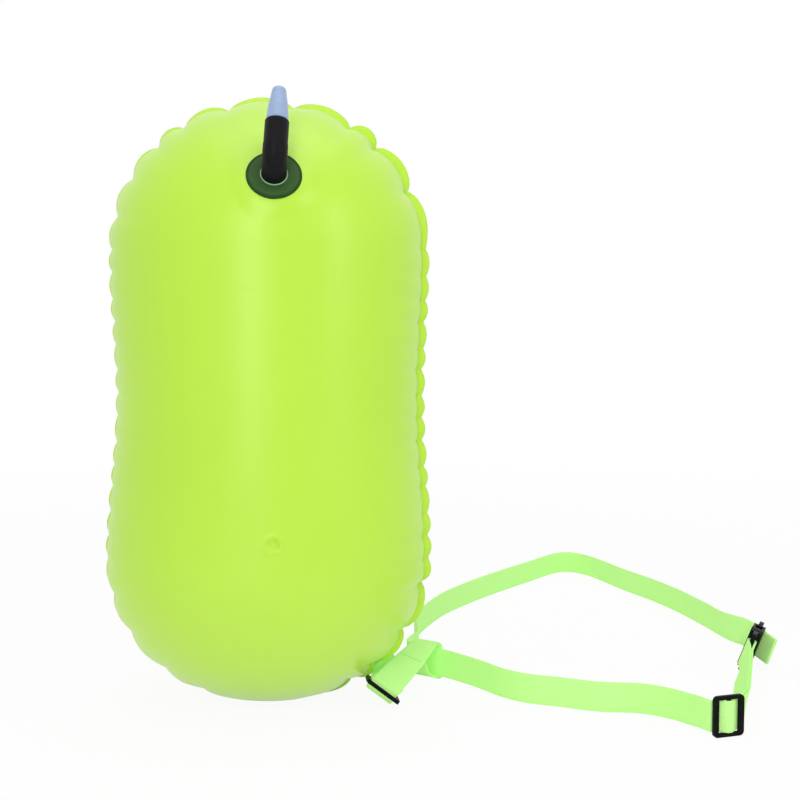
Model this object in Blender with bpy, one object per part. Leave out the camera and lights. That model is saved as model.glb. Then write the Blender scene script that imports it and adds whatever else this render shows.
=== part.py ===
"""Open water swim buoy: an inflated film bladder with an oral valve, a leash and a waist belt.

Metres, +Z up. The buoy stands on its lower end at the origin, its valve side faces -Y,
and the waist belt stands on edge on the floor to the right (+X) and behind (+Y).
"""
import math

import bmesh
import bpy
from mathutils import Matrix, Vector

# Clearances
GAP = 0.0003
CUT_OVERRUN = 0.002

# Bladder
BLADDER_HALF_WIDTH = 0.131
BLADDER_HALF_DEPTH = 0.108
END_HEIGHT = 0.120
STRAIGHT_HEIGHT = 0.258
FOOT_SINK = 0.0015
FILM = 0.0006
FLANGE_WIDTH = 0.007
TOP_LEAN = math.radians(48)
LEFT_LEAN = math.radians(62)
RIGHT_LEAN = math.radians(38)
FOOT_LEAN = math.radians(70)
CORNER_LEAN = math.radians(110)
END_PUCKER = 0.0055
SIDE_PUCKER = 0.0024
FOOT_FOLD_RISE = 0.0024
FOOT_HALF_WIDTH = 0.070
SIDE_SCALLOP_PITCH = 0.0205

# Half widths on the right and the left side, as shares: low down, near the top and lost at the waist
RIGHT_WIDTH_SHARES = (1.0, 0.983, 0.037)
LEFT_WIDTH_SHARES = (1.035, 0.983, 0.055)

# Fullness of the ends' outlines and of the section from seam to crest, where 2 is an ellipse
UPPER_END_POWER = 2.0
LOWER_END_POWER = 2.1
SECTION_POWER = 1.8

# Places of the puckers along each end, as shares of its half turn from the right seam
TOP_NOTCH_SHARES = (0.0, 0.132, 0.249, 0.318, 0.444, 0.580, 0.680, 0.748, 0.836, 0.928, 1.0)
BOTTOM_NOTCH_SHARES = (0.0, 0.068, 0.159, 0.276, 0.372, 0.452, 0.562, 0.676, 0.733, 0.833, 0.949, 1.0)
# Depth of each row of the film, and how much of the puckers it keeps
ROW_DEPTH_SHARES = (0.0, 0.075, 0.25, 0.46, 0.69, 0.86, 0.965)
ROW_PUCKER_SHARES = (1.0, 0.95, 0.62, 0.25, 0.06, 0.0, 0.0)
END_COLUMNS = 3
SIDE_COLUMNS = 2

# Valve
VALVE_RISE = 0.051
VALVE_OFFSET = 0.0155
VALVE_EXTRA_TILT = math.radians(5)
PAD_RADIUS = 0.0255
PAD_RISE = 0.0008
PAD_SKIRT = 0.0065
FLANGE_DISC_RADIUS = 0.0215
FLANGE_DISC_THICKNESS = 0.0012
NECK_RADIUS = 0.0093
NECK_HEIGHT = 0.0026
WELD_RING_WIDTH = 0.0010
WELD_RING_HEIGHT = 0.0011
TUBE_RADIUS = 0.0091
TUBE_BORE_RADIUS = 0.0062
TUBE_BEND_RADIUS = 0.0160
TUBE_STRAIGHT = 0.0194
TUBE_LEAN_BACK = math.radians(20)
TUBE_LEAN_SIDE = math.radians(2)
INSERT_LENGTH = 0.020
INSERT_WALL = 0.0013
SEAT_THICKNESS = 0.002
SEAT_BORE_RADIUS = 0.0022
MOUTHPIECE_LENGTH = 0.0275
MOUTHPIECE_RADIUS = 0.0087
MOUTHPIECE_BORE_RADIUS = 0.0026
SPIGOT_LENGTH = 0.009
SPIGOT_RADIUS = 0.0042
STEM_RADIUS = 0.0012
PLUG_DISC_RADIUS = 0.0038
PLUG_DISC_THICKNESS = 0.0014
RING_CORD = 0.0005
# Mouthpiece outline: height as a share of its length, radius as a share of its own
MOUTHPIECE_SHARES = (
    (0.0, 0.96),
    (0.04, 1.0),
    (0.33, 0.9),
    (0.62, 0.71),
    (0.82, 0.65),
    (0.93, 0.61),
    (0.985, 0.5),
    (1.0, 0.4),
)

# Webbing
WEB_WIDTH = 0.025
WEB_THICKNESS = 0.0015
WEB_STEP = 0.014
STITCH_WIDTH = 0.0012
STITCH_THICKNESS = 0.0004
STITCH_LENGTH = 0.020
BAR_RADIUS = 0.0016
FLOOR_GAP = 0.0003

# Anchor on the back of the bladder
ANCHOR_SIDE = 0.072
ANCHOR_HEIGHT = 0.050
ANCHOR_PAD_RADIUS = 0.022
TAB_LENGTH = 0.026
RING_INNER_WIDTH = 0.0272
RING_INNER_DEPTH = 0.011

# Leash
LEASH_SLIDER_SIDE = 0.0955
LEASH_SLIDER_FRONT = 0.0280
LEASH_SLIDER_HEIGHT = 0.0139
LEASH_SLIDER_ROLL = math.radians(37)
LEASH_SLIDER_PITCH = math.radians(10)
LEASH_TAIL = 0.016
# How far the strap bulges out of the slider, as a share of its radius round the bar
SLIDER_BULGE = 1.7
FLANGE_PASS_SIDE = 0.1025
FLANGE_PASS_HEIGHT = 0.0115
LOOP_HEIGHT = 0.0325
LOOP_FRONT = 0.0058
LAP_SHARE = 0.62

# Sliders
SLIDER_WIDTH = 0.0322
SLIDER_LENGTH = 0.0265
SLIDER_THICKNESS = 0.0032
SLIDER_BAR = 0.0044
SLIDER_MIDDLE_BAR = 0.0030
SLIDER_RAIL = 0.0032
SLIDER_CORNER = 0.0035

# Waist belt: where the leash loop holds it and which way it runs there, and its routes
# from there: right and back as shares of the belt's span, and its lift as a share of the loop's
LOOP_SIDE = 0.136
LOOP_BACK = 0.055
LOOP_TURN = math.radians(-37)
BELT_SPAN = 0.460
NEAR_ROUTE_SHARES = (
    (-0.0375, 0.0815, 0.6),
    (-0.0415, 0.0610, 0.8),
    (-0.0400, 0.0420, 1.0),
    (-0.0348, 0.0300, 1.0),
    (-0.0280, 0.0211, 1.0),
    (0.0174, -0.0131, 1.0),
    (0.0348, -0.0261, 1.0),
    (0.0587, -0.0478, 0.7),
    (0.0804, -0.0674, 0.4),
    (0.1065, -0.0978, 0.1),
    (0.1326, -0.1326, 0.0),
    (0.1717, -0.1652, 0.0),
    (0.2261, -0.1870, 0.0),
    (0.2935, -0.2152, 0.0),
    (0.3674, -0.2272, 0.1),
    (0.4115, -0.2622, 0.5),
    (0.4348, -0.2978, 1.0),
    (0.4489, -0.3261, 1.6),
)
FAR_ROUTE_SHARES = (
    (-0.0367, 0.0850, 0.6),
    (-0.0317, 0.1040, 0.4),
    (-0.0196, 0.1413, 0.2),
    (-0.0217, 0.2283, 0.0),
    (-0.0196, 0.3000, 0.0),
    (0.0348, 0.4717, 0.0),
    (0.1087, 0.6109, 0.0),
    (0.1870, 0.7304, 0.0),
    (0.2717, 0.8478, 0.0),
    (0.3543, 0.9609, 0.0),
    (0.4000, 0.9870, 0.0),
    (0.4413, 0.9478, 0.0),
    (0.4717, 0.8783, 0.0),
    (0.5130, 0.7587, 0.0),
    (0.5609, 0.6435, 0.0),
    (0.5978, 0.5152, 0.4),
    (0.6217, 0.3696, 1.4),
    (0.6326, 0.2500, 2.8),
)
BELT_SLIDER_SIDE = 0.3615
BELT_SLIDER_FRONT = 0.104
BELT_SLIDER_TURN = math.radians(18)
# From the belt's slider to the buckle, as shares: along the way, to its right, of the buckle's lean
STRAP_ROUTE_SHARES = ((0.13, -0.012, 0.75), (0.30, -0.020, 1.35), (0.60, -0.016, 1.45), (0.85, -0.004, 1.10))

# Side release buckle: where its mouth is and which way its socket points
BUCKLE_SIDE = 0.4285
BUCKLE_BACK = 0.0792
BUCKLE_TURN = math.radians(66.4)
BUCKLE_LEAN = math.radians(20)
BUCKLE_HALF_WIDTH = 0.018
BUCKLE_HALF_THICKNESS = 0.0055
BUCKLE_CORNER = 0.003
SHELL_LENGTH = 0.0255
SOCKET_CAVITY_DEPTH = 0.0235
SOCKET_WALL = 0.0022
RAIL_HALF_THICKNESS = 0.0019
WEB_SLOT = 0.0085
SLOT_LEAD = 0.0020
WINDOW_START = 0.0095
WINDOW_LENGTH = 0.0105
PLUG_NECK = 0.0040
PRONG_LENGTH = 0.0205
PRONG_HEIGHT = 0.0042
PRONG_HEAD = 0.0055
PRONG_HALF_THICKNESS = 0.0026
PRONG_ROOT_GAP = 0.0006
TONGUE_LENGTH = 0.0170
TONGUE_HALF_HEIGHT = 0.0025
SLOT_HALF_WIDTH = 0.0132
# The belt's way through the socket's slot and back round its end bar,
# as shares of the shell's length: along, to the left. From SETTLE_FROM on it leans less
SETTLE_FROM = 0.5
SETTLE_SHARE = 0.55
THROUGH_SHARES = ((0.722, 0.702), (0.470, 0.424), (0.239, 0.169), (0.0, 0.0), (-0.141, -0.188),
                  (-0.329, -0.459), (-0.500, -0.659))
RETURN_SHARES = (
    (-0.433, -0.710),
    (-0.263, -0.510),
    (-0.059, -0.259),
    (0.235, -0.165),
    (0.425, -0.090),
    (0.520, 0.120),
    (0.630, 0.400),
    (0.782, 0.647),
)

# Derived sizes
LOWER_CENTRE = END_HEIGHT - FOOT_SINK
UPPER_CENTRE = LOWER_CENTRE + STRAIGHT_HEIGHT
VALVE_HEIGHT = UPPER_CENTRE + VALVE_RISE
LAYER = WEB_THICKNESS + GAP
LIFT = FLOOR_GAP + WEB_WIDTH / 2
TURN_RADIUS = BAR_RADIUS + GAP + WEB_THICKNESS / 2
PLUG_TURN_RADIUS = math.hypot(BAR_RADIUS, RAIL_HALF_THICKNESS) + GAP + WEB_THICKNESS / 2
BUCKLE_HEIGHT = (BUCKLE_HALF_WIDTH * math.cos(BUCKLE_LEAN) + BUCKLE_HALF_THICKNESS * math.sin(BUCKLE_LEAN)
                 + FLOOR_GAP)
SLIDER_HEIGHT = SLIDER_WIDTH / 2 + FLOOR_GAP
SLOT_MIDDLE = SHELL_LENGTH + SLOT_LEAD + WEB_SLOT / 2
SOCKET_END = SHELL_LENGTH + SLOT_LEAD + WEB_SLOT + BAR_RADIUS * 2
PLUG_BAR_MIDDLE = PLUG_NECK + WEB_SLOT + BAR_RADIUS
LOOP_LIFT = LAYER + GAP


def clear_scene():
    for item in list(bpy.data.objects):
        bpy.data.objects.remove(item, do_unlink=True)


def material(name, colour, roughness, metallic=0.0):
    finish = bpy.data.materials.new(name)
    finish.use_nodes = True
    shader = finish.node_tree.nodes["Principled BSDF"]
    shader.inputs["Base Color"].default_value = (*colour, 1.0)
    shader.inputs["Roughness"].default_value = roughness
    shader.inputs["Metallic"].default_value = metallic
    return finish


def new_object(name, mesh, finish, matrix=None):
    item = bpy.data.objects.new(name, mesh)
    bpy.context.scene.collection.objects.link(item)
    mesh.materials.append(finish.copy())
    if matrix is not None:
        item.matrix_world = matrix
    return item


def mesh_from(bm, name):
    bmesh.ops.recalc_face_normals(bm, faces=bm.faces)
    mesh = bpy.data.meshes.new(name)
    bm.to_mesh(mesh)
    bm.free()
    mesh.shade_smooth()
    mesh.set_sharp_from_angle(angle=math.radians(40))
    return mesh


def turned(name, profile, finish, matrix=None, steps=32):
    """A solid of revolution about local Z from a closed list of (radius, height)."""
    bm = bmesh.new()
    rings = []
    for step in range(steps):
        angle = math.tau * step / steps
        rings.append([bm.verts.new((r * math.cos(angle), r * math.sin(angle), z)) for r, z in profile])
    count = len(profile)
    for step in range(steps):
        here, there = rings[step], rings[(step + 1) % steps]
        for index in range(count):
            following = (index + 1) % count
            bm.faces.new((here[index], there[index], there[following], here[following]))
    bmesh.ops.remove_doubles(bm, verts=bm.verts, dist=GAP / 100)
    return new_object(name, mesh_from(bm, name), finish, matrix)


def box_mesh(bm, low, high):
    centre = (Vector(low) + Vector(high)) / 2
    size = Vector(high) - Vector(low)
    place = Matrix.Translation(centre) @ Matrix.Diagonal((*size, 1.0))
    return bmesh.ops.create_cube(bm, size=1.0, matrix=place)["verts"]


def cut(target, tool, operation="DIFFERENCE"):
    """Applies a Boolean by keeping it live and hiding its tool."""
    tool.hide_render = True
    tool.display_type = "WIRE"
    modifier = target.modifiers.new(operation.lower(), "BOOLEAN")
    modifier.operation = operation
    modifier.solver = "EXACT"
    modifier.object = tool


def frame_from(origin, x_axis, z_axis):
    """A placing matrix from an origin, a local X direction and a local Z direction."""
    x_dir = Vector(x_axis).normalized()
    z_dir = Vector(z_axis)
    z_dir = (z_dir - x_dir * z_dir.dot(x_dir)).normalized()
    y_dir = z_dir.cross(x_dir)
    turn = Matrix((x_dir, y_dir, z_dir)).transposed().to_4x4()
    return Matrix.Translation(origin) @ turn


def smooth_route(points, step):
    """Catmull-Rom through (place, width direction) pairs, with a point about every step."""
    route = []
    last = len(points) - 1
    for index in range(last):
        before = points[max(index - 1, 0)]
        start, end = points[index], points[index + 1]
        after = points[min(index + 2, last)]
        pieces = max(1, round((end[0] - start[0]).length / step))
        for piece in range(pieces):
            t = piece / pieces
            mixed = []
            for a, b, c, d in zip(before, start, end, after):
                mixed.append(
                    0.5 * ((2 * b) + (c - a) * t + (2 * a - 5 * b + 4 * c - d) * t * t
                           + (3 * b - a - 3 * c + d) * t * t * t)
                )
            route.append(mixed)
    route.append(list(points[last]))
    return route


def ribbon(name, points, finish, step=WEB_STEP, width=WEB_WIDTH, thickness=WEB_THICKNESS):
    """Flat webbing swept along a route of (place, width direction) pairs."""
    pairs = [(Vector(place), Vector(across).normalized()) for place, across in points]
    route = smooth_route(pairs, step)
    bm = bmesh.new()
    rings = []
    for index, (place, across) in enumerate(route):
        before = route[max(index - 1, 0)][0]
        after = route[min(index + 1, len(route) - 1)][0]
        along = (after - before).normalized()
        across = (across - along * across.dot(along)).normalized()
        face = along.cross(across)
        half, side = across * width / 2, face * thickness / 2
        corners = (half + side, half - side, -half - side, -half + side)
        rings.append([bm.verts.new(place + corner) for corner in corners])
    for here, there in zip(rings, rings[1:]):
        for index in range(4):
            following = (index + 1) % 4
            bm.faces.new((here[index], here[following], there[following], there[index]))
    bm.faces.new(rings[0])
    bm.faces.new(reversed(rings[-1]))
    return new_object(name, mesh_from(bm, name), finish)


def turn_round(centre, outward, side, across, radius, steps=6):
    """Half a turn round a bar, from +side to -side, bulging towards outward."""
    turn = []
    for step in range(steps + 1):
        angle = math.pi * step / steps
        turn.append((centre + side * radius * math.cos(angle) + outward * radius * math.sin(angle), across))
    return turn


def end_shape(right, up):
    """The half width and the fullness of the bladder's outline, by the side of an end's centre."""
    low_share, top_share, _ = RIGHT_WIDTH_SHARES if right > 0 else LEFT_WIDTH_SHARES
    if up > 0:
        return BLADDER_HALF_WIDTH * top_share, UPPER_END_POWER
    return BLADDER_HALF_WIDTH * low_share, LOWER_END_POWER


def outline_slope(reach):
    """Square to the bladder's outline at a reach from its end's centre, pointing outwards."""
    half_width, power = end_shape(reach.x, reach.z)
    right = abs(reach.x / half_width) ** (power - 1) / half_width
    up = abs(reach.z / END_HEIGHT) ** (power - 1) / END_HEIGHT
    return Vector((math.copysign(right, reach.x), 0, math.copysign(up, reach.z)))


def bladder_columns():
    """Each column of the film: its centre, its outward direction, its reach and its pucker."""
    columns = []
    side_scallops = round(STRAIGHT_HEIGHT / SIDE_SCALLOP_PITCH)
    side_count = side_scallops * SIDE_COLUMNS

    def side(sign, order):
        low_share, top_share, waist = RIGHT_WIDTH_SHARES if sign > 0 else LEFT_WIDTH_SHARES
        for index in order:
            share = index / side_count
            centre = Vector((0, 0, LOWER_CENTRE + STRAIGHT_HEIGHT * share))
            width_share = low_share + (top_share - low_share) * share - waist * math.sin(math.pi * share) ** 2
            reach = Vector((sign * BLADDER_HALF_WIDTH * width_share, 0, 0))
            notch = SIDE_PUCKER if index % SIDE_COLUMNS == 0 else 0.0
            columns.append((index, centre, reach, notch))

    def end(shares, centre, key, direction):
        for place, following in zip(shares, shares[1:]):
            for step in range(END_COLUMNS):
                share = place + (following - place) * step / END_COLUMNS
                angle = math.pi * share
                right, up = direction * math.cos(angle), direction * math.sin(angle)
                half_width, power = end_shape(right, direction)
                reach = Vector((math.copysign(half_width * abs(right) ** (2 / power), right), 0,
                                math.copysign(END_HEIGHT * abs(up) ** (2 / power), up)))
                notch = END_PUCKER if step == 0 else 0.0
                if share == shares[0]:
                    notch = SIDE_PUCKER
                columns.append((key, Vector((0, 0, centre)), reach, notch))

    side(1, range(0, side_count))
    end(TOP_NOTCH_SHARES, UPPER_CENTRE, side_count, 1)
    side(-1, range(side_count, 0, -1))
    end(BOTTOM_NOTCH_SHARES, LOWER_CENTRE, 0, -1)
    return columns


def flange_lean(outward, foot):
    """How far the weld flange leans towards +Y: back all round, but hardly at the upper right."""
    top, low = max(outward.z, 0.0), max(-outward.z, 0.0)
    right, left = max(outward.x, 0.0), max(-outward.x, 0.0)
    lean = TOP_LEAN * top**2 + LEFT_LEAN * left**2 + RIGHT_LEAN * (right**2 + low**2 * (1 - foot))
    return lean - CORNER_LEAN * (top * right) ** 2 + FOOT_LEAN * foot * (1 - left)


def weld_flange(seam, outward, lean, weld_offset, lift):
    """The flange's seam, rim and normal, with both films of it kept above the floor."""
    out_share, back_share = math.cos(lean), math.sin(lean)
    reach = (outward * out_share + Vector((0, back_share, 0))) * FLANGE_WIDTH
    for _ in range(3):
        normal = Vector((0, out_share, 0)) - outward * back_share
        rise = weld_offset * abs(normal.z)
        base = Vector((seam.x, seam.y, max(seam.z, rise + lift)))
        rim = base + reach
        rim.z = max(rim.z, rise)
        way = (rim - base).normalized()
        out_share, back_share = way.dot(outward), way.y
        length = math.hypot(out_share, back_share)
        out_share, back_share = out_share / length, back_share / length
    return base, rim, normal


def film_panel(name, facing, finish):
    """One film panel, from its flange to its middle; facing is -1 for the front, 1 for the back."""
    bm = bmesh.new()
    columns = bladder_columns()
    weld_offset = FILM + GAP / 2
    grid = []
    for key, centre, reach, notch in columns:
        outward = outline_slope(reach).normalized()
        seam = centre + reach
        near_foot = max(0.0, 1 - abs(seam.x) / FOOT_HALF_WIDTH) if outward.z < 0 else 0.0
        foot = min(1.0, near_foot * 1.6)
        lean = flange_lean(outward, foot)
        line = []
        for depth_share, pucker_share in zip(ROW_DEPTH_SHARES, ROW_PUCKER_SHARES):
            keep = math.sqrt(1 - depth_share**SECTION_POWER)
            place = centre + reach * keep - outward * notch * pucker_share * (1 - foot)
            place.y = facing * BLADDER_HALF_DEPTH * depth_share
            line.append(place)
        fold = FOOT_FOLD_RISE if facing > 0 else 0.0
        for place, height in zip(line[1:], [fold] + [0.0] * len(line)):
            place.z = max(place.z, height)
        seam, rim, normal = weld_flange(line[0], outward, lean, weld_offset, FOOT_FOLD_RISE * (1 - foot))
        rim += normal * weld_offset * facing
        line[0] = seam + normal * weld_offset * facing
        verts = [bm.verts.new(rim)] + [bm.verts.new(place) for place in line]
        grid.append((key, verts))
    middle = {}
    for (key, verts), (_, centre, _, _) in zip(grid, columns):
        if key not in middle:
            middle[key] = bm.verts.new((0, facing * BLADDER_HALF_DEPTH, centre.z))
        verts.append(middle[key])
    for (_, here), (_, there) in zip(grid, grid[1:] + grid[:1]):
        for row in range(len(here) - 1):
            corners = [here[row], there[row], there[row + 1], here[row + 1]]
            if corners[2] is corners[3]:
                corners.pop()
            bm.faces.new(corners)
    bmesh.ops.recalc_face_normals(bm, faces=bm.faces)
    probe = max(bm.faces, key=lambda face: face.calc_center_median().y * facing)
    if probe.normal.y * facing < 0:
        bmesh.ops.reverse_faces(bm, faces=bm.faces)
    mesh = bpy.data.meshes.new(name)
    bm.to_mesh(mesh)
    bm.free()
    mesh.shade_smooth()
    panel = new_object(name, mesh, finish)
    wall = panel.modifiers.new("film", "SOLIDIFY")
    wall.thickness = FILM
    wall.offset = -1.0
    return panel


def surface_frame(facing, side, height, extra_tilt, rise):
    """A placing matrix on the film: local Z out of it, local Y up along it."""
    centre = min(max(height, LOWER_CENTRE), UPPER_CENTRE)
    half_width, power = end_shape(side, height - centre)
    x_share, z_share = side / half_width, (height - centre) / END_HEIGHT
    keep = (abs(x_share) ** power + abs(z_share) ** power) ** (1 / power)
    depth_share = (1 - keep**2) ** (1 / SECTION_POWER)
    depth = facing * BLADDER_HALF_DEPTH * depth_share
    slope = outline_slope(Vector((side, 0, height - centre))) * keep ** (2 - power)
    slope.y = facing * SECTION_POWER / 2 * depth_share ** (SECTION_POWER - 1) / BLADDER_HALF_DEPTH
    normal = slope.normalized()
    across = Vector((0, 0, 1)).cross(normal).normalized()
    normal = Matrix.Rotation(-extra_tilt, 3, across) @ normal
    place = Vector((side, depth, height)) + normal * rise
    return frame_from(place, across, normal)


def weld_pad(panel, matrix, radius, hole):
    """A flat round place in the film, with a hole through it where hole isn't zero."""
    opening_mesh = bmesh.new()
    bmesh.ops.create_cone(opening_mesh, cap_ends=True, segments=32, radius1=radius - FILM,
                          radius2=radius - FILM, depth=PAD_SKIRT * 4)
    opening = new_object(panel.name + "_pad_cut", mesh_from(opening_mesh, "pad_cut"), BLACK_PLASTIC, matrix)
    cut(panel, opening)
    inner = radius - FILM * 2
    outline = [(radius, 0), (radius, -PAD_SKIRT), (inner, -PAD_SKIRT), (inner, -FILM)]
    outline += [(hole, -FILM), (hole, 0)]
    cup = turned(panel.name + "_pad", outline, BLACK_PLASTIC, matrix)
    cut(panel, cup, "UNION")


def disc_profile(inner, outer, low, high):
    return [(inner, low), (outer, low), (outer, high), (inner, high)]


def tube_between(name, route, ends, outer, inner, finish, sides=20):
    """A round tube with an open bore along a list of places, square to its two end directions."""
    bm = bmesh.new()
    rings = []
    across = Vector((1, 0, 0))
    for index, place in enumerate(route):
        before = route[max(index - 1, 0)]
        after = route[min(index + 1, len(route) - 1)]
        along = (after - before).normalized()
        if index == 0:
            along = ends[0]
        across = (across - along * across.dot(along)).normalized()
        other = along.cross(across)
        rim = []
        for radius in (outer, inner):
            for side in range(sides):
                angle = math.tau * side / sides
                turn = across * math.cos(angle) + other * math.sin(angle)
                rim.append(bm.verts.new(place + turn * radius))
        rings.append(rim)
    for here, there in zip(rings, rings[1:]):
        for side in range(sides):
            following = (side + 1) % sides
            bm.faces.new((here[side], here[following], there[following], there[side]))
            bm.faces.new((here[sides + side], there[sides + side], there[sides + following],
                          here[sides + following]))
    for rim in (rings[0], rings[-1]):
        for side in range(sides):
            following = (side + 1) % sides
            bm.faces.new((rim[side], rim[following], rim[sides + following], rim[sides + side]))
    return new_object(name, mesh_from(bm, name), finish)


def valve_route(matrix):
    """The tube's centre line: straight out of the film, round the bend, then up and back."""
    out = (matrix.to_3x3() @ Vector((0, 0, 1))).normalized()
    end = Vector((math.sin(TUBE_LEAN_SIDE), math.sin(TUBE_LEAN_BACK), math.cos(TUBE_LEAN_BACK))).normalized()
    start = matrix @ Vector((0, 0, NECK_HEIGHT + GAP))
    turn_angle = out.angle(end)
    inward = (end - out * end.dot(out)).normalized()
    centre = start + inward * TUBE_BEND_RADIUS
    steps = 10
    route = []
    for step in range(steps + 1):
        angle = turn_angle * step / steps
        route.append(centre + (out * math.sin(angle) - inward * math.cos(angle)) * TUBE_BEND_RADIUS)
    route.append(route[-1] + end * TUBE_STRAIGHT)
    return route, out, end


def make_valve(front):
    matrix = surface_frame(-1, VALVE_OFFSET, VALVE_HEIGHT, VALVE_EXTRA_TILT, PAD_RISE)
    weld_pad(front, matrix, PAD_RADIUS, NECK_RADIUS + GAP)
    top = -FILM - GAP
    bottom = top - FLANGE_DISC_THICKNESS
    outline = [(TUBE_BORE_RADIUS, bottom), (FLANGE_DISC_RADIUS, bottom), (FLANGE_DISC_RADIUS, top),
               (NECK_RADIUS, top), (NECK_RADIUS, NECK_HEIGHT), (TUBE_BORE_RADIUS, NECK_HEIGHT)]
    turned("valve_flange", outline, BLACK_RUBBER, matrix, 40)
    ring_inner = NECK_RADIUS + GAP
    turned("valve_weld_ring", disc_profile(ring_inner, ring_inner + WELD_RING_WIDTH, GAP,
                                           GAP + WELD_RING_HEIGHT), CLEAR_WELD, matrix, 40)
    route, out, end = valve_route(matrix)
    tube_between("inflation_tube", route, (out, end), TUBE_RADIUS, TUBE_BORE_RADIUS, BLACK_RUBBER)
    top_frame = frame_from(route[-1], Vector((1, 0, 0)) - end * end.x, end)
    insert_outer = TUBE_BORE_RADIUS - GAP
    insert_inner = insert_outer - INSERT_WALL
    seat_top = -INSERT_LENGTH + SEAT_THICKNESS
    turned("valve_insert", [(SEAT_BORE_RADIUS, -INSERT_LENGTH), (insert_outer, -INSERT_LENGTH),
                            (insert_outer, 0), (insert_inner, 0), (insert_inner, seat_top),
                            (SEAT_BORE_RADIUS, seat_top)], NATURAL_PLASTIC, top_frame, 24)
    outline = [(MOUTHPIECE_RADIUS * radius, GAP + MOUTHPIECE_LENGTH * height)
               for height, radius in MOUTHPIECE_SHARES]
    outline += [(MOUTHPIECE_BORE_RADIUS, GAP + MOUTHPIECE_LENGTH), (MOUTHPIECE_BORE_RADIUS, -SPIGOT_LENGTH),
                (SPIGOT_RADIUS, -SPIGOT_LENGTH), (SPIGOT_RADIUS, GAP)]
    turned("mouthpiece", outline, BLUE_PLASTIC, top_frame, 32)
    ring_low = seat_top + GAP
    disc_low = ring_low + RING_CORD * 2 + GAP
    disc_high = disc_low + PLUG_DISC_THICKNESS
    head_low = -SPIGOT_LENGTH - GAP - PLUG_DISC_THICKNESS
    head_high = -SPIGOT_LENGTH - GAP
    stem = turned("stem_plug", [(0, disc_low), (PLUG_DISC_RADIUS, disc_low), (PLUG_DISC_RADIUS, disc_high),
                                (STEM_RADIUS, disc_high), (STEM_RADIUS, head_high), (0, head_high)],
                  NATURAL_PLASTIC, top_frame, 24)
    spider_mesh = bmesh.new()
    reach = SPIGOT_RADIUS - GAP
    box_mesh(spider_mesh, (-reach, -STEM_RADIUS, head_low), (reach, STEM_RADIUS, head_high))
    spider = new_object("stem_spider", mesh_from(spider_mesh, "stem_spider"), BLACK_PLASTIC, top_frame)
    cut(stem, spider, "UNION")
    ring_middle = SEAT_BORE_RADIUS + RING_CORD * 1.6
    outline = []
    for step in range(8):
        angle = math.tau * step / 8
        outline.append((ring_middle + RING_CORD * math.cos(angle),
                        ring_low + RING_CORD * (1 + math.sin(angle))))
    turned("plug_o_ring", outline, BLACK_RUBBER, top_frame, 24)


def tri_glide(name, matrix, finish):
    """A slider: a flat frame with a middle bar; local X along the webbing, local Z across it."""
    half_length, half_width = SLIDER_LENGTH / 2, SLIDER_WIDTH / 2
    inset = SLIDER_CORNER
    outline = []
    for quarter, (sign_x, sign_z) in enumerate(((1, 1), (-1, 1), (-1, -1), (1, -1))):
        for step in range(5):
            angle = math.pi / 2 * (quarter + step / 4)
            outline.append((sign_x * (half_length - inset) + inset * math.cos(angle),
                            sign_z * (half_width - inset) + inset * math.sin(angle)))
    loops = [outline]
    inner, outer, top = SLIDER_MIDDLE_BAR / 2, half_length - SLIDER_BAR, half_width - SLIDER_RAIL
    for low, high in ((inner, outer), (-outer, -inner)):
        loops.append([(low, -top), (high, -top), (high, top), (low, top)])
    bm = bmesh.new()
    edges = []
    for loop in loops:
        verts = [bm.verts.new((x, -SLIDER_THICKNESS / 2, z)) for x, z in loop]
        for here, there in zip(verts, verts[1:] + verts[:1]):
            edges.append(bm.edges.new((here, there)))
    bmesh.ops.triangle_fill(bm, edges=edges, use_beauty=True)
    raised = bmesh.ops.extrude_face_region(bm, geom=bm.faces[:])["geom"]
    moved = [item for item in raised if isinstance(item, bmesh.types.BMVert)]
    bmesh.ops.translate(bm, verts=moved, vec=(0, SLIDER_THICKNESS, 0))
    return new_object(name, mesh_from(bm, name), finish, matrix)


def make_anchor(back):
    """A welded patch on the back, with a sewn webbing tab that holds the leash's ring."""
    matrix = surface_frame(1, ANCHOR_SIDE, ANCHOR_HEIGHT, 0.0, PAD_RISE)
    weld_pad(back, matrix, ANCHOR_PAD_RADIUS, 0)
    out = matrix.to_3x3() @ Vector((0, 0, 1))
    origin = matrix.translation
    pull = Vector((FLANGE_PASS_SIDE, 0, FLANGE_PASS_HEIGHT)) - origin
    pull = (pull - out * pull.dot(out)).normalized()
    across = pull.cross(out)
    low = GAP + WEB_THICKNESS / 2
    half = TAB_LENGTH / 2
    bar = origin + pull * (ANCHOR_PAD_RADIUS + TURN_RADIUS) + out * (low + TURN_RADIUS)
    high = low + LAYER
    points = [(origin - pull * half + out * low, across), (origin + pull * half + out * low, across),
              (origin + pull * ANCHOR_PAD_RADIUS + out * low, across)]
    points += turn_round(bar, pull, -out, across, TURN_RADIUS)
    points += [(origin + pull * half + out * high, across), (origin - pull * half + out * high, across)]
    ribbon("anchor_tab", points, WEBBING)
    top = origin + out * (high + WEB_THICKNESS / 2)
    stitch_bar("anchor_tab_stitch", top, across, out)
    return bar, across


def stitch_bar(name, place, across, out):
    """A row of thread across the webbing, lying on its face."""
    bm = bmesh.new()
    box_mesh(bm, (-STITCH_LENGTH / 2, -STITCH_WIDTH / 2, GAP),
             (STITCH_LENGTH / 2, STITCH_WIDTH / 2, GAP + STITCH_THICKNESS))
    return new_object(name, mesh_from(bm, name), THREAD, frame_from(place, across, out))


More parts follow.
